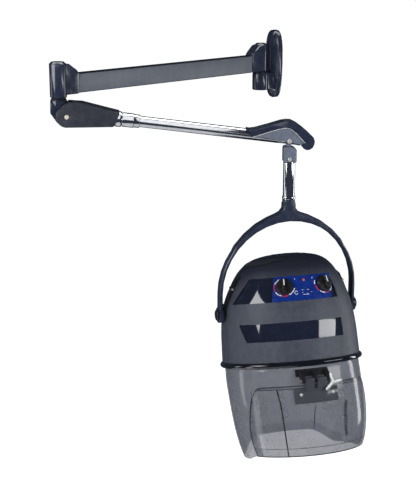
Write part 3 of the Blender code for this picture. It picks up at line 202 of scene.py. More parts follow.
GRAY_PLASTIC = plastic("gray_plastic", (0.10, 0.10, 0.11), (0.15, 0.15, 0.16), (0.45, 0.55))
SLATE = plastic("slate_paint", (0.150, 0.170, 0.225), (0.190, 0.215, 0.280), (0.30, 0.40))
IVORY = plastic("ivory_plastic", (0.72, 0.66, 0.52), (0.82, 0.77, 0.64), (0.35, 0.45))
PANEL_BLUE = plastic("panel_blue", (0.004, 0.026, 0.200), (0.008, 0.036, 0.260), (0.22, 0.32), coat=0.6)
AMBER = plastic("amber_lens", (0.75, 0.11, 0.02), (0.90, 0.18, 0.03), (0.12, 0.2), coat=0.8)
CHROME = metal("chrome", (0.62, 0.63, 0.65), (0.74, 0.75, 0.77), (0.07, 0.14))
TRIM = metal("silver_trim", (0.70, 0.71, 0.72), (0.82, 0.83, 0.84), (0.24, 0.34), metallic=0.55)
BRIGHT = metal("bright_screw_steel", (0.70, 0.70, 0.69), (0.82, 0.82, 0.81), (0.24, 0.34), metallic=0.6)
GRAY_STEEL = metal("gray_steel", (0.26, 0.27, 0.28), (0.36, 0.37, 0.38), (0.3, 0.42))
BRASS = metal("brass", (0.55, 0.40, 0.14), (0.68, 0.50, 0.20), (0.25, 0.35))
MICA = plastic("mica_board", (0.40, 0.34, 0.22), (0.52, 0.45, 0.30), (0.5, 0.6), scale=200)
SMOKE = clear("smoked_plastic", (0.270, 0.284, 0.330), 0.62)
SMOKE_DOOR = clear("smoked_door", (0.235, 0.248, 0.290), 0.62)
SMOKE_SHADE = clear("smoked_shade", (0.030, 0.032, 0.040), 0.42)

BY_SLOT = {"navy_plastic": NAVY, "satin_black": SATIN, "black_steel": STEEL_BLACK, "gray_enamel": ENAMEL,
           "matte_gray": MATTE, "gloss_black": PIANO, "gray_plastic": GRAY_PLASTIC, "slate_paint": SLATE,
           "chrome": CHROME, "silver_trim": TRIM, "bright_steel": BRIGHT, "steel": BRIGHT,
           "gray_steel": GRAY_STEEL, "brass": BRASS, "ivory_plastic": IVORY, "blue_panel": PANEL_BLUE,
           "amber_lens": AMBER, "heater_metal": GRAY_STEEL, "mica": MICA, "smoked_plastic": SMOKE}


def blend_base(tree, shader, base, factor, colour):
    """Blends the base colour into another one by a factor socket."""
    mix = tree.nodes.new("ShaderNodeMix")
    mix.data_type = "RGBA"
    tree.links.new(factor, mix.inputs["Factor"])
    tree.links.new(base, mix.inputs["A"])
    mix.inputs["B"].default_value = (*colour, 1)
    tree.links.new(mix.outputs["Result"], shader.inputs["Base Color"])


def shade_edges(made, middle, inner, outer):
    """Darkens a material above and below a height, as rounded edges turned away from the light do."""
    tree = made.node_tree
    shader = tree.nodes["Principled BSDF"]
    base = shader.inputs["Base Color"].links[0].from_socket
    place = tree.nodes.new("ShaderNodeTexCoord")
    split = tree.nodes.new("ShaderNodeSeparateXYZ")
    tree.links.new(place.outputs["Object"], split.inputs["Vector"])
    off_middle = tree.nodes.new("ShaderNodeMath")
    off_middle.operation = "SUBTRACT"
    off_middle.inputs[1].default_value = middle
    tree.links.new(split.outputs["Z"], off_middle.inputs[0])
    distance = tree.nodes.new("ShaderNodeMath")
    distance.operation = "ABSOLUTE"
    tree.links.new(off_middle.outputs[0], distance.inputs[0])
    fade = tree.nodes.new("ShaderNodeMapRange")
    fade.inputs["From Min"].default_value = inner
    fade.inputs["From Max"].default_value = outer
    tree.links.new(distance.outputs[0], fade.inputs["Value"])
    blend_base(tree, shader, base, fade.outputs["Result"], (0.012, 0.014, 0.020))


def shade_top(made, start, end, colour):
    """Darkens a shell's colour towards its crown, by the height above the tilt axis."""
    tree = made.node_tree
    shader = tree.nodes["Principled BSDF"]
    base = shader.inputs["Base Color"].links[0].from_socket
    place = tree.nodes.new("ShaderNodeTexCoord")
    along = tree.nodes.new("ShaderNodeVectorMath")
    along.operation = "DOT_PRODUCT"
    up = HOOD.to_3x3() @ Vector((0, 0, 1))
    along.inputs[1].default_value = up
    tree.links.new(place.outputs["Object"], along.inputs[0])
    fade = tree.nodes.new("ShaderNodeMapRange")
    fade.inputs["From Min"].default_value = up.dot(TILT_POINT) + start
    fade.inputs["From Max"].default_value = up.dot(TILT_POINT) + end
    tree.links.new(along.outputs["Value"], fade.inputs["Value"])
    blend_base(tree, shader, base, fade.outputs["Result"], colour)


shade_edges(ENAMEL, 0.006, 0.0218, 0.0240)
shade_top(MATTE, 0.055, 0.112, (0.020, 0.023, 0.038))
SLOT_OF = {row["node"]: row["material_slot"] for row in frame["record"]["subparts"]}

SMOKE_BAND = clear("smoked_rim_band", (0.012, 0.013, 0.020), 0.72)
RING_BLACK = plastic("ring_gloss_black", (0.004, 0.005, 0.009), (0.007, 0.008, 0.013), (0.05, 0.10),
                     coat=1.0, bump=0.0)
HINGE_SMOKE = clear("hinge_plate_smoke", (0.085, 0.090, 0.108), 0.80)
COVER = plastic("elbow_cover_plastic", (0.034, 0.037, 0.048), (0.048, 0.052, 0.066), (0.30, 0.42),
                bump=0.05)
WHITE_PRINT = plastic("white_print", (0.70, 0.71, 0.74), (0.86, 0.87, 0.90), (0.4, 0.5))
RED_PRINT = plastic("red_print", (0.50, 0.015, 0.020), (0.65, 0.030, 0.035), (0.4, 0.5))
RECESS = plastic("recess_gray", (0.030, 0.032, 0.038), (0.042, 0.045, 0.052), (0.3, 0.4), coat=0.2)

OWN_MATERIAL = {"wall_bracket": NAVY, "wall_cover": NAVY, "end_cover": NAVY, "yoke": YOKE_NAVY,
                "elbow_thrust_washer": STEEL_BLACK, "wall_thrust_washer": STEEL_BLACK,
                "visor_hinge_plate": HINGE_SMOKE, "elbow_cover_left": COVER, "elbow_cover_right": COVER}
FINE_EDGE = 0.0003
SOFT_EDGE = {"wall_bracket": 0.0012, "wall_cover": 0.0016, "wall_end_housing": 0.0020,
             "elbow_housing": 0.0022, "elbow_knuckle": 0.0016, "elbow_cover_left": 0.0014,
             "elbow_cover_right": 0.0014, "end_cover": 0.0016, "end_bracket": 0.0006,
             "hanger_block": 0.0008, "yoke": 0.0014, "swing_bar": 0.0008,
             "visor_hinge_base": 0.0006, "visor_hinge_plate": 0.0006}


def soften(node, width):
    """Smooth shading and small rounded edges over the frame's own shape."""
    mesh = node.data
    for layer in ("custom_normal", "sharp_edge", "sharp_face"):
        if layer in mesh.attributes:
            mesh.attributes.remove(mesh.attributes[layer])
    for face in mesh.polygons:
        face.use_smooth = True
    weld = node.modifiers.new("weld", "WELD")
    weld.merge_threshold = 0.00001
    bevel = node.modifiers.new("edge", "BEVEL")
    bevel.width = width
    bevel.segments = 2
    bevel.limit_method = "ANGLE"
    bevel.angle_limit = radians(42)
    split = node.modifiers.new("crease", "EDGE_SPLIT")
    split.split_angle = radians(36)


for name, node in NODES.items():
    chosen = OWN_MATERIAL.get(name, BY_SLOT[SLOT_OF[name]])
    for index in range(len(node.data.materials)):
        node.data.materials[index] = chosen
    soften(node, SOFT_EDGE.get(name, FINE_EDGE))


# --- making pieces ------------------------------------------------------------------------
def piece(name, mesh, body, finish, replaced=(), place=None, angle=36):
    if place is not None:
        mesh.transform(place)
    mesh.materials.clear()
    mesh.materials.append(finish)
    for face in mesh.polygons:
        face.use_smooth = True
    mesh.set_sharp_from_angle(angle=radians(angle))
    item = bpy.data.objects.new(name, mesh)
    scene.collection.objects.link(item)
    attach(item, body)
    if replaced:
        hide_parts(*replaced)
    return item


def mesh_of(name, points, faces):
    mesh = bpy.data.meshes.new(name)
    mesh.from_pydata([tuple(p) for p in points], [], faces)
    mesh.update()
    return mesh


def slab(name, columns, rows, outer, inner, closed=False, keep=None):
    """A curved sheet with thickness: outer(i, j) and inner(i, j) are its two faces' points."""
    points = [outer(i, j) for i in range(columns) for j in range(rows)]
    points += [inner(i, j) for i in range(columns) for j in range(rows)]
    half = columns * rows
    faces = []
    edges = {}
    for i in range(columns if closed else columns - 1):
        for j in range(rows - 1):
            if keep and not keep(i, j):
                continue
            n = (i + 1) % columns
            quad = (i * rows + j, n * rows + j, n * rows + j + 1, i * rows + j + 1)
            faces.append(quad)
            faces.append(tuple(half + v for v in reversed(quad)))
            for k in range(4):
                a, b = quad[k], quad[(k + 1) % 4]
                edges[(a, b)] = edges.get((a, b), 0) + 1
    for a, b in list(edges):
        if (b, a) not in edges:
            faces.append((b, a, half + a, half + b))
    mesh = mesh_of(name, points, faces)
    work = bmesh.new()
    work.from_mesh(mesh)
    bmesh.ops.delete(work, geom=[v for v in work.verts if not v.link_faces], context="VERTS")
    bmesh.ops.recalc_face_normals(work, faces=work.faces)
    work.to_mesh(mesh)
    work.free()
    return mesh


def lathe(name, profile, sides, closed_profile=False):
    """A solid turned about Z from (radius, height) pairs."""
    work = bmesh.new()
    rings = []
    for radius, height in profile:
        if radius < 1e-6:
            rings.append([work.verts.new((0, 0, height))])
        else:
            turns = [2 * pi * k / sides for k in range(sides)]
            rings.append([work.verts.new((radius * cos(t), radius * sin(t), height)) for t in turns])
    pairs = list(zip(rings, rings[1:]))
    if closed_profile:
        pairs.append((rings[-1], rings[0]))
    for a, b in pairs:
        for k in range(sides):
            n = (k + 1) % sides
            corners = [a[k % len(a)], a[n % len(a)], b[n % len(b)], b[k % len(b)]]
            unique = []
            for v in corners:
                if v not in unique:
                    unique.append(v)
            if len(unique) > 2:
                work.faces.new(unique)
    bmesh.ops.recalc_face_normals(work, faces=work.faces)
    mesh = bpy.data.meshes.new(name)
    work.to_mesh(mesh)
    work.free()
    return mesh


def joined(name, *meshes):
    work = bmesh.new()
    for mesh in meshes:
        work.from_mesh(mesh)
    made = bpy.data.meshes.new(name)
    work.to_mesh(made)
    work.free()
    return made


def carve(mesh, *tools):
    """The mesh with closed tool meshes cut out of it."""
    item = bpy.data.objects.new("work", mesh)
    scene.collection.objects.link(item)
    helpers = []
    for tool in tools:
        helper = bpy.data.objects.new("tool", tool)
        scene.collection.objects.link(helper)
        cut = item.modifiers.new("cut", "BOOLEAN")
        cut.operation = "DIFFERENCE"
        cut.solver = "EXACT"
        cut.object = helper
        helpers.append(helper)
    made = bpy.data.meshes.new_from_object(item.evaluated_get(bpy.context.evaluated_depsgraph_get()))
    for thing in [item, *helpers]:
        bpy.data.objects.remove(thing, do_unlink=True)
    return made


def spread(low, high, count):
    return [low + (high - low) * i / (count - 1) for i in range(count)]


def layer(name, azimuths, heights, high, low, closed=False, keep=None, drift=None):
    """A sheet over the hood's skin, from low to high above it. drift bends the azimuths with the height."""
    def at(distance):
        def point(i, j):
            azimuth = azimuths[i]
            if drift:
                azimuth = drift(i, heights[j])
            return off(azimuth, heights[j], distance)
        return point
    return slab(name, len(azimuths), len(heights), at(high), at(low), closed, keep)


# --- hood shells --------------------------------------------------------------------------
def window(left, right, low_h, high_h):
    """A cutting tool for a window; left and right give its ends at a height."""
    heights = spread(low_h, high_h, 7)

    def drift(i, height):
        return left(height) + (right(height) - left(height)) * i / 39
    return layer("window", [0] * 40, heights, 0.012, -0.014, drift=drift)


def windows():
    upper = window(lambda h: -77 + 15 * (h - 0.025) / 0.063, lambda h: 33.0, 0.025, 0.088)
    lower = window(lambda h: -57 - 8 * (h + 0.074) / 0.046, lambda h: 30.6, -0.074, -0.028)
    return upper, lower


CROWN_ROWS = [0.099, 0.106, 0.113, 0.120, 0.126, 0.1315, 0.136, 0.1395, 0.1425, 0.1446, 0.1462]
SHELL_ROWS = spread(-0.127, 0.092, 30) + CROWN_ROWS
front = layer("front_shell_skin", spread(-82.0, 82.0, 83), SHELL_ROWS, 0, -0.003)
piece("front_shell_skin", carve(front, *windows()), "hood", MATTE, ["front_shell"], HOOD, 30)
back = layer("back_shell_skin", spread(82.36, 277.64, 98), SHELL_ROWS, 0, -0.003)
piece("back_shell_skin", back, "hood", MATTE, ["back_shell"], HOOD, 30)
dome = layer("gloss_dome_skin", spread(0, 357, 120), SHELL_ROWS, DOME_DEPTH, -0.0064, closed=True)
piece("gloss_dome_skin", dome, "hood", PIANO, ["inner_dome"], HOOD, 60)

RING_R = 0.183
RING_H = -0.135
RING_THICK = 0.0072
ring_turns = [2 * pi * k / 20 for k in range(20)]
ring_profile = [(RING_R + RING_THICK * cos(t), RING_H + RING_THICK * sin(t)) for t in ring_turns]
ring = lathe("rim_ring_round", ring_profile, 128, True)
piece("rim_ring_round", ring, "hood", RING_BLACK, ["rim_ring"], HOOD, 60)


# --- control panel ------------------------------------------------------------------------
def panel_drift(i, height):
    right = 23.5 + 9.7 * (height - 0.0245) / 0.063
    return -32.0 + (right + 32.0) * i / 47


PANEL_ROWS = [0.0245, 0.0252, 0.0262] + spread(0.029, 0.083, 12) + [0.0858, 0.0868, 0.0875]
panel = layer("blue_panel", [0] * 48, PANEL_ROWS, 0.0024, -0.0038, drift=panel_drift)
panel_item = piece("blue_panel", panel, "hood", PANEL_BLUE, ["control_panel"], HOOD, 40)
rounding = panel_item.modifiers.new("edge", "BEVEL")
rounding.width = 0.0008
rounding.segments = 2
rounding.limit_method = "ANGLE"
rounding.angle_limit = radians(50)


def knob_frame(which):
    """The knob's own axis, from the record: Z is the shaft, Y is up the panel."""
    joint = next(j for j in frame["joints"] if j["child"] == which)
    out = Vector(joint["axis"]).normalized()
    up = HOOD.to_3x3() @ Vector((0, 0, 1))
    up = (up - out * up.dot(out)).normalized()
    turn = Matrix((up.cross(out), up, out)).transposed().to_4x4()
    return Matrix.Translation(Vector(joint["pos_m"])) @ turn


def decal(name, azimuth, height, inner, outer, finish, lift=0.0026, body="hood"):
    """Print on the panel: a strip between two lines given as (across, up) offsets from a point on it."""
    def onto(across, up):
        h = height + up * 0.86
        reach = table(DOME, h)
        return off(azimuth + across / reach * DEGREES, h, lift)

    def top(i, j):
        return onto(*(outer[i] if j else inner[i]))

    def under(i, j):
        across, up = outer[i] if j else inner[i]
        p = top(i, j)
        return p - skin_normal(azimuth, height) * 0.00015
    mesh = slab(name, len(inner), 2, top, under)
    return piece(name, mesh, body, finish, (), HOOD)


def arc(azimuth, start, end, radius, width, finish, name):
    turns = [radians(t) for t in spread(start, end, 24)]
    inner = [((radius - width / 2) * cos(t), (radius - width / 2) * sin(t)) for t in turns]
    outer = [((radius + width / 2) * cos(t), (radius + width / 2) * sin(t)) for t in turns]
    decal(name, azimuth, KNOB_H, inner, outer, finish)


ARCS = {"timer": [(120, 158, WHITE_PRINT), (163, 205, RED_PRINT), (210, 252, WHITE_PRINT),
                  (257, 292, RED_PRINT), (297, 350, WHITE_PRINT)],
        "temperature": [(150, 178, WHITE_PRINT), (183, 222, RED_PRINT), (227, 262, WHITE_PRINT),
                        (267, 296, RED_PRINT), (301, 352, WHITE_PRINT)]}
for which, rows in ARCS.items():
    for number, (start, end, finish) in enumerate(rows):
        arc(KNOB_AT[which], start, end, 0.0260, 0.0030, finish, f"{which}_mark_{number}")


def bar_mark(name, azimuth, height, length, width, finish=WHITE_PRINT):
    decal(name, azimuth, height, [(-length / 2, -width / 2), (length / 2, -width / 2)],
          [(-length / 2, width / 2), (length / 2, width / 2)], finish)


bar_mark("panel_dot_left", -10.6, 0.0792, 0.0026, 0.0022)
bar_mark("panel_dot_right", 8.0, 0.0792, 0.0026, 0.0022)
PANEL_LINES = [(-1.6, 0.0500, 0.0190), (-0.4, 0.0440, 0.0260), (-1.6, 0.0385, 0.0160)]
for number, (azimuth, height, length) in enumerate(PANEL_LINES):
    bar_mark(f"panel_line_{number}", azimuth, height, length, 0.0013)
emblem_turns = [radians(t) for t in spread(20, 340, 20)]
decal("panel_emblem", -10.4, 0.0445, [(0.0032 * cos(t), 0.0042 * sin(t)) for t in emblem_turns],
      [(0.0046 * cos(t), 0.0058 * sin(t)) for t in emblem_turns], WHITE_PRINT)


def block(name, size, at, edge, segments, profile=0.5):
    """A box with rounded edges."""
    work = bmesh.new()
    bmesh.ops.create_cube(work, size=1.0)
    bmesh.ops.scale(work, vec=size, verts=work.verts)
    bmesh.ops.translate(work, vec=at, verts=work.verts)
    bmesh.ops.bevel(work, geom=list(work.edges), offset=edge, segments=segments, affect="EDGES",
                    profile=profile)
    made = bpy.data.meshes.new(name)
    work.to_mesh(made)
    work.free()
    return made


def knob(which):
    """A knob's disc and grip in one piece, and the white pointer on the grip."""
    place = knob_frame(which)
    profile = [(0, 0.0), (0.0213, 0.0), (0.0215, 0.0006), (0.0211, 0.0052), (0.0206, 0.0072),
               (0.0197, 0.0085), (0.0184, 0.0090), (0, 0.0090)]
    disc = lathe("knob", profile, 72)
    grip = block("grip", (0.0088, 0.0376, 0.0130), (0, 0, 0.0118), 0.0022, 4, 0.6)
    turned = joined("knob", disc, grip)
    piece(f"{which}_knob_black", turned, which, SATIN, [f"{which}_knob"], place, 32)
    line = block("pointer", (0.0030, 0.0165, 0.0010), (0, 0.0080, 0.01815), 0.0002, 2)
    piece(f"{which}_pointer", line, which, WHITE_PRINT, (), place)


knob("timer")
knob("temperature")


# --- top inlet ----------------------------------------------------------------------------
def band_over(name, left, right, lower, upper, high, low, finish, count=40):
    """A curved band on the skin between two heights that change with the azimuth."""
    azimuths = spread(left, right, count)

    def at(distance):
        def point(i, j):
            low_h, high_h = lower(azimuths[i]), upper(azimuths[i])
            return off(azimuths[i], low_h + (high_h - low_h) * j / 5, distance)
        return point
    return piece(name, slab(name, count, 6, at(high), at(low)), "hood", finish, (), HOOD)


def inlet_mid(azimuth):
    return table([(-112, 0.1270), (-100, 0.1285), (-68, 0.1265), (-40, 0.1315), (-14, 0.1385)], azimuth)


def inlet_half(azimuth):
    return 0.0062 * max(0.08, sin(pi * (azimuth + 112) / 98)) ** 0.7


band_over("top_inlet", -112, -14, lambda a: inlet_mid(a) - inlet_half(a),
          lambda a: inlet_mid(a) + inlet_half(a), 0.0006, -0.0008, RECESS)
band_over("top_inlet_edge", -110, -16, lambda a: inlet_mid(a) - inlet_half(a) - 0.0012,
          lambda a: inlet_mid(a) - inlet_half(a) + 0.0002, 0.0008, -0.0008, SATIN)
band_over("top_slot", -34, -16, lambda a: 0.1362, lambda a: 0.1392, 0.0011, -0.0008, SATIN, 12)


# --- smoked chamber and visor -------------------------------------------------------------
def ease(share):
    return 3 * share ** 2 - 2 * share ** 3


def rim_height(azimuth):
    """The chamber's lower rim: low at the sides, high at the neck."""
    around = (azimuth + 180) % 360 - 180
    back_turn = 180 - abs(around)
    if back_turn <= 28:
        return -0.347
    if back_turn <= 61:
        share = (back_turn - 28) / 33
        return -0.347 - 0.0325 * ease(share)
    share = min(max((84 - abs(around)) / 20, 0.0), 1.0)
    return -0.3795 + 0.0120 * ease(share)


CHAMBER_AZ = spread(-59, 59, 41) + spread(61, 299, 120)
UPPER_ROWS = 7
LOWER_ROWS = 24
BAND_HEIGHT = 0.0555              # the closed band between the seam and the door opening
BAND_FOOT = -0.198
CHAMBER_TOP = -0.1427


def chamber_height(i, j):
    if j < UPPER_ROWS:
        return SEAM - BAND_HEIGHT * j / (UPPER_ROWS - 1)
    share = (j - UPPER_ROWS + 1) / LOWER_ROWS
    return BAND_FOOT + (rim_height(CHAMBER_AZ[i]) - BAND_FOOT) * share


def chamber_point(distance):
    def point(i, j):
        return off(CHAMBER_AZ[i], min(chamber_height(i, j), CHAMBER_TOP), distance)
    return point


def chamber_keep(i, j):
    """The chamber's cells: all of them, apart from the door opening at the front."""
    return j < UPPER_ROWS - 1 or i >= 40


chamber = slab("chamber", len(CHAMBER_AZ), UPPER_ROWS + LOWER_ROWS, chamber_point(0),
               chamber_point(-0.0028), True, chamber_keep)
piece("smoked_chamber_skin", chamber, "hood", SMOKE, ["smoked_chamber"], HOOD, 30)

# Rows of (height, half the door's width in degrees).
DOOR_HALF_AT = [(-0.188, 46.0), (-0.1905, 50.0), (-0.1952, 53.5), (-0.2136, 58.0), (-0.2472, 62.0),
                (-0.2872, 65.6), (-0.3328, 66.4), (-0.3655, 64.4)]
DOOR_TOP_ROWS = [-0.1965, -0.1935, -0.1912, -0.1895, -0.1885, -0.188]
DOOR_ROWS = [-0.3655, -0.3650, -0.3640] + spread(-0.360, -0.200, 26) + DOOR_TOP_ROWS


def door_drift(i, height):
    return table(DOOR_HALF_AT, height) * (2 * i / 60 - 1)


door = layer("visor", [0] * 61, DOOR_ROWS, DOOR_OUT, 0.0021, drift=door_drift)
piece("smoked_visor", door, "visor", SMOKE_DOOR, ["visor_door"], HOOD, 30)


def stripe(name, line, width, high, low, finish, body):
    """A narrow strip on the skin along a line of (azimuth, height) points."""
    rows = []
    for k in range(len(line) - 1):
        for t in range(8):
            rows.append((line[k][0] + (line[k + 1][0] - line[k][0]) * t / 8,
                         line[k][1] + (line[k + 1][1] - line[k][1]) * t / 8))
    rows.append(line[-1])
    flat = []
    for k, (azimuth, height) in enumerate(rows):
        a, b = rows[max(k - 1, 0)], rows[min(k + 1, len(rows) - 1)]
        along = Vector(((b[0] - a[0]) * DEGREE_SPAN, b[1] - a[1])).normalized()
        flat.append((-along.y * width / 2 / DEGREE_SPAN, along.x * width / 2))

    def at(distance):
        def point(i, j):
            azimuth, height = rows[i]
            side = 1 if j else -1
            return off(azimuth + side * flat[i][0], height + side * flat[i][1], distance)
        return point
    return piece(name, slab(name, len(rows), 2, at(high), at(low)), body, finish, (), HOOD)


edge_left = [(-46, -0.1895), (-50, -0.1915), (-53, -0.1962), (-57.3, -0.2136), (-61.3, -0.2472),
             (-64.8, -0.2872), (-65.5, -0.3328), (-63.6, -0.3640)]


def level(half, height):
    return [(-half, height), (0, height), (half, height)]


edge_right = [(-a, h) for a, h in edge_left]
# The door's rolled edges: the name, the line and the width.
DOOR_EDGES = [("visor_edge_left", edge_left, 0.0026), ("visor_edge_right", edge_right, 0.0026),
              ("visor_edge_top", level(46, -0.1895), 0.0022), ("visor_lip_top", level(50, -0.1955), 0.0014),
              ("visor_edge_low", level(63, -0.3642), 0.0026), ("visor_lip_low", level(64, -0.3440), 0.0012)]
for name, line, width in DOOR_EDGES:
    stripe(name, line, width, 0.0053, 0.0047, SMOKE_BAND, "visor")
rib_left = [(-34.0, -0.1950), (-33.4, -0.2172), (-32.6, -0.2328), (-32.4, -0.2944), (-32.0, -0.3630)]
rib_middle = [(-5.0, -0.2400), (-6.8, -0.2600), (-8.6, -0.2972)]
seam_line = [(-3.4, -0.1480), (-4.2, -0.1700), (-5.0, -0.1860)]
stripe("visor_rib_left", rib_left, 0.0030, 0.0054, 0.0047, SATIN, "visor")
stripe("visor_rib_middle", rib_middle, 0.0014, 0.0053, 0.0047, SMOKE_BAND, "visor")
stripe("chamber_seam", seam_line, 0.0012, 0.0004, -0.0002, SMOKE_BAND, "hood")


def rod(path, radii, sides=16):
    """A closed round rod through points, with a radius at each."""
    turns = [2 * pi * n / sides for n in range(sides)]
    rings = []
    for k, point in enumerate(path):
        ahead, behind = Vector(path[min(k + 1, len(path) - 1)]), Vector(path[max(k - 1, 0)])
        turn = (ahead - behind).normalized().to_track_quat("Z", "Y")
        circle = [Vector((radii[k] * cos(t), radii[k] * sin(t), 0)) for t in turns]
        rings.append([Vector(point) + turn @ spot for spot in circle])
    points = [p for ring in rings for p in ring]
    faces = [tuple(reversed(range(sides))), tuple(range((len(rings) - 1) * sides, len(rings) * sides))]
    for r in range(len(rings) - 1):
        for n in range(sides):
            m = (n + 1) % sides
            faces.append((r * sides + n, r * sides + m, (r + 1) * sides + m, (r + 1) * sides + n))
    return mesh_of("rod", points, faces)


PIN_END = Vector((0.0296, -0.1975, -0.1755))
FORK = PIN_END + Vector((0.001, -0.011, -0.011))
lever_arms = [
    rod([PIN_END + Vector((-0.003, -0.006, 0.0125)), PIN_END + Vector((-0.002, -0.0075, 0.0105)),
         PIN_END + Vector((-0.001, -0.009, 0.0)), FORK], [0.0018, 0.0034, 0.0036, 0.0040]),
    rod([FORK, PIN_END + Vector((0.012, -0.008, -0.0100)), PIN_END + Vector((0.024, -0.006, -0.0075)),
         PIN_END + Vector((0.028, -0.005, -0.0070))], [0.0040, 0.0038, 0.0046, 0.0022]),
    rod([FORK, PIN_END + Vector((-0.008, -0.011, -0.0190)), PIN_END + Vector((-0.016, -0.011, -0.0265)),
         PIN_END + Vector((-0.018, -0.011, -0.0285))], [0.0042, 0.0040, 0.0042, 0.0020]),
    rod([PIN_END + Vector((-0.0020, 0, 0)), PIN_END + Vector((0.0024, 0, 0))], [0.0066, 0.0066], 32),
    rod([PIN_END + Vector((0.0, -0.003, 0)), PIN_END + Vector((-0.001, -0.009, 0.0))], [0.0034, 0.0034])]
lever = joined("lever", *lever_arms)
lever_item = piece("latch_lever_bright", lever, "latch", TRIM, ["latch_lever"], HOOD, 40)
# A dark see-through strip laid over the door: painted shade, not a part of the door.
shade_line = [(23.5, -0.2380), (21.6, -0.2620), (21.0, -0.3000), (22.0, -0.3270)]
stripe("visor_shade", shade_line, 0.0100, 0.0052, 0.0047, SMOKE_SHADE, "visor")


def neck_band(distance):
    """The band along the chamber's rim at the neck."""
    def point(i, j):
        azimuth = 112 + 106 * i / 60
        low_h = rim_height(azimuth)
        return off(azimuth, low_h + 0.0005 + 0.0225 * j / 5, distance)
    return point


piece("neck_band", slab("neck_band", 61, 6, neck_band(-0.0031), neck_band(-0.0046)), "hood", SMOKE_BAND,
      (), HOOD, 30)


# --- camera, floor and light --------------------------------------------------------------
def look_at(item, point):
    item.rotation_euler = (Vector(point) - item.location).to_track_quat("-Z", "Y").to_euler()


lens = bpy.data.cameras.new("camera")
lens.lens = 82.8
lens.sensor_width = 36
lens.clip_end = 100
camera = bpy.data.objects.new("camera", lens)
camera.location = CAMERA_AT
look_at(camera, CAMERA_AIM)
scene.collection.objects.link(camera)
scene.camera = camera

ground = lathe("floor", [(0, -1.9), (13, -1.9), (16, -1.6), (18.5, -0.4), (20, 2.5), (20, 18)], 96)
for face in ground.polygons:
    face.use_smooth = True
floor = bpy.data.objects.new("floor", ground)
scene.collection.objects.link(floor)
pale = new_material("floor_white")[0]
pale_inputs = pale.node_tree.nodes["Principled BSDF"].inputs
pale_inputs["Base Color"].default_value = (0.93, 0.93, 0.93, 1)
pale_inputs["Roughness"].default_value = 0.9
pale_inputs["Specular IOR Level"].default_value = 0.1
pale_inputs["Emission Color"].default_value = (1, 1, 1, 1)
pale_inputs["Emission Strength"].default_value = 1.0
ground.materials.append(pale)
floor.visible_glossy = False
floor.visible_diffuse = False


def area(name, at, aim, size, power, height=None):
    light = bpy.data.lights.new(name, "AREA")
    light.shape = "RECTANGLE" if height else "SQUARE"
    light.size = size
    if height:
        light.size_y = height
    light.energy = power
    item = bpy.data.objects.new(name, light)
    item.location = at
    look_at(item, aim)
    scene.collection.objects.link(item)
    return item


LIGHT_AIM = (0.35, -0.5, -0.5)
SOFT_LIGHTS = [("key_soft", (1.2, -3.0, 0.3), 1.4, 48), ("fill_soft", (2.9, 0.3, -0.1), 1.4, 38),
               ("top_soft", (0.4, -0.6, 1.9), 1.5, 1.0), ("back_soft", (-2.6, 2.2, 0.9), 1.6, 22)]
for name, at, size, power in SOFT_LIGHTS:
    soft = area(name, at, LIGHT_AIM, size, power)
    soft.visible_glossy = False
area("left_strip", (-1.5, -2.3, -0.75), (0.35, -0.5, -0.3), 0.4, 4, 1.3)
area("right_strip", (1.1, 2.0, -0.75), (0.43, -0.32, -0.3), 0.4, 9, 1.5)

# With the latch lever, the only parts that the overhead glow and the card over the arm light.
ARM_LIT = ("arm_tube", "collar_ring", "collar_sleeve", "visor_screw_left", "visor_screw_right",
           "hanger_pivot_screw", "hanger_clamp_screw", "end_trim", "stop_screw", "end_cover", "wall_cover",
           "wall_end_housing", "elbow_housing")
bright_metal = bpy.data.collections.new("bright_metal")
bright_metal.objects.link(lever_item)
for name in ARM_LIT:
    bright_metal.objects.link(NODES[name])
arm_glow = area("arm_glow", (1.25, -1.55, 1.1), (0.3, -0.55, -0.1), 2.2, 18)
arm_glow.light_linking.receiver_collection = bright_metal


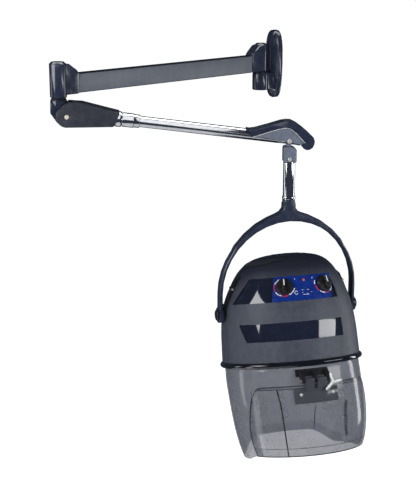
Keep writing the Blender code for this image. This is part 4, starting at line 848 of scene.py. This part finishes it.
def glowing(name, points, strength):
    """A bright sheet that only reflections show."""
    mesh = mesh_of(name, points, [tuple(range(len(points)))])
    glow = bpy.data.materials.new(name)
    glow.use_nodes = True
    tree = glow.node_tree
    tree.nodes.clear()
    emission = tree.nodes.new("ShaderNodeEmission")
    emission.inputs["Strength"].default_value = strength
    out = tree.nodes.new("ShaderNodeOutputMaterial")
    tree.links.new(emission.outputs["Emission"], out.inputs["Surface"])
    mesh.materials.append(glow)
    item = bpy.data.objects.new(name, mesh)
    scene.collection.objects.link(item)
    item.visible_camera = False
    item.visible_diffuse = False
    item.visible_shadow = False
    return item


CARD_REACH = 1.6


def light_card(name, corners, depth, strength):
    """A card that the skin at this depth mirrors to the camera inside the given (azimuth, height) corners."""
    turn = HOOD.to_3x3()
    points = []
    for azimuth, height in corners:
        at = HOOD @ off(azimuth, height, depth)
        normal = (turn @ skin_normal(azimuth, height)).normalized()
        ray = (at - CAMERA_AT).normalized()
        points.append(at + ray.reflect(normal) * CARD_REACH)
    glowing(name, points, strength)


DIAMOND = [(-49.0, 0.072), (-38.0, 0.0224), (-45.4, -0.0496), (-55.4, 0.0252)]
STREAK = [(-57.0, -0.205), (-51.0, -0.205), (-53.0, -0.345), (-59.0, -0.345)]
STRIP = [(7.2, -0.0264), (24.6, -0.0316), (21.6, -0.0772), (5.2, -0.0720)]
light_card("card_diamond", DIAMOND, DOME_DEPTH, 5.0)
light_card("card_streak_wide", STREAK, DOOR_OUT, 2.2)
light_card("card_strip", STRIP, DOME_DEPTH, 5.0)
area("bounce_soft", (0.5, -0.9, -1.85), LIGHT_AIM, 2.2, 10)
over = glowing("card_over_arm", [(-0.9, -1.2, 1.2), (-0.3, -1.6, 1.2), (1.3, 0.8, 1.2), (0.7, 1.2, 1.2)], 4.5)
over.light_linking.receiver_collection = bright_metal

world = bpy.data.worlds.new("studio")
world.use_nodes = True
sky = world.node_tree.nodes["Background"].inputs
sky["Color"].default_value = (0.50, 0.60, 0.85, 1)
sky["Strength"].default_value = 0.08
scene.world = world
scene.view_settings.view_transform = "Standard"
scene.cycles.sample_clamp_indirect = 1.5
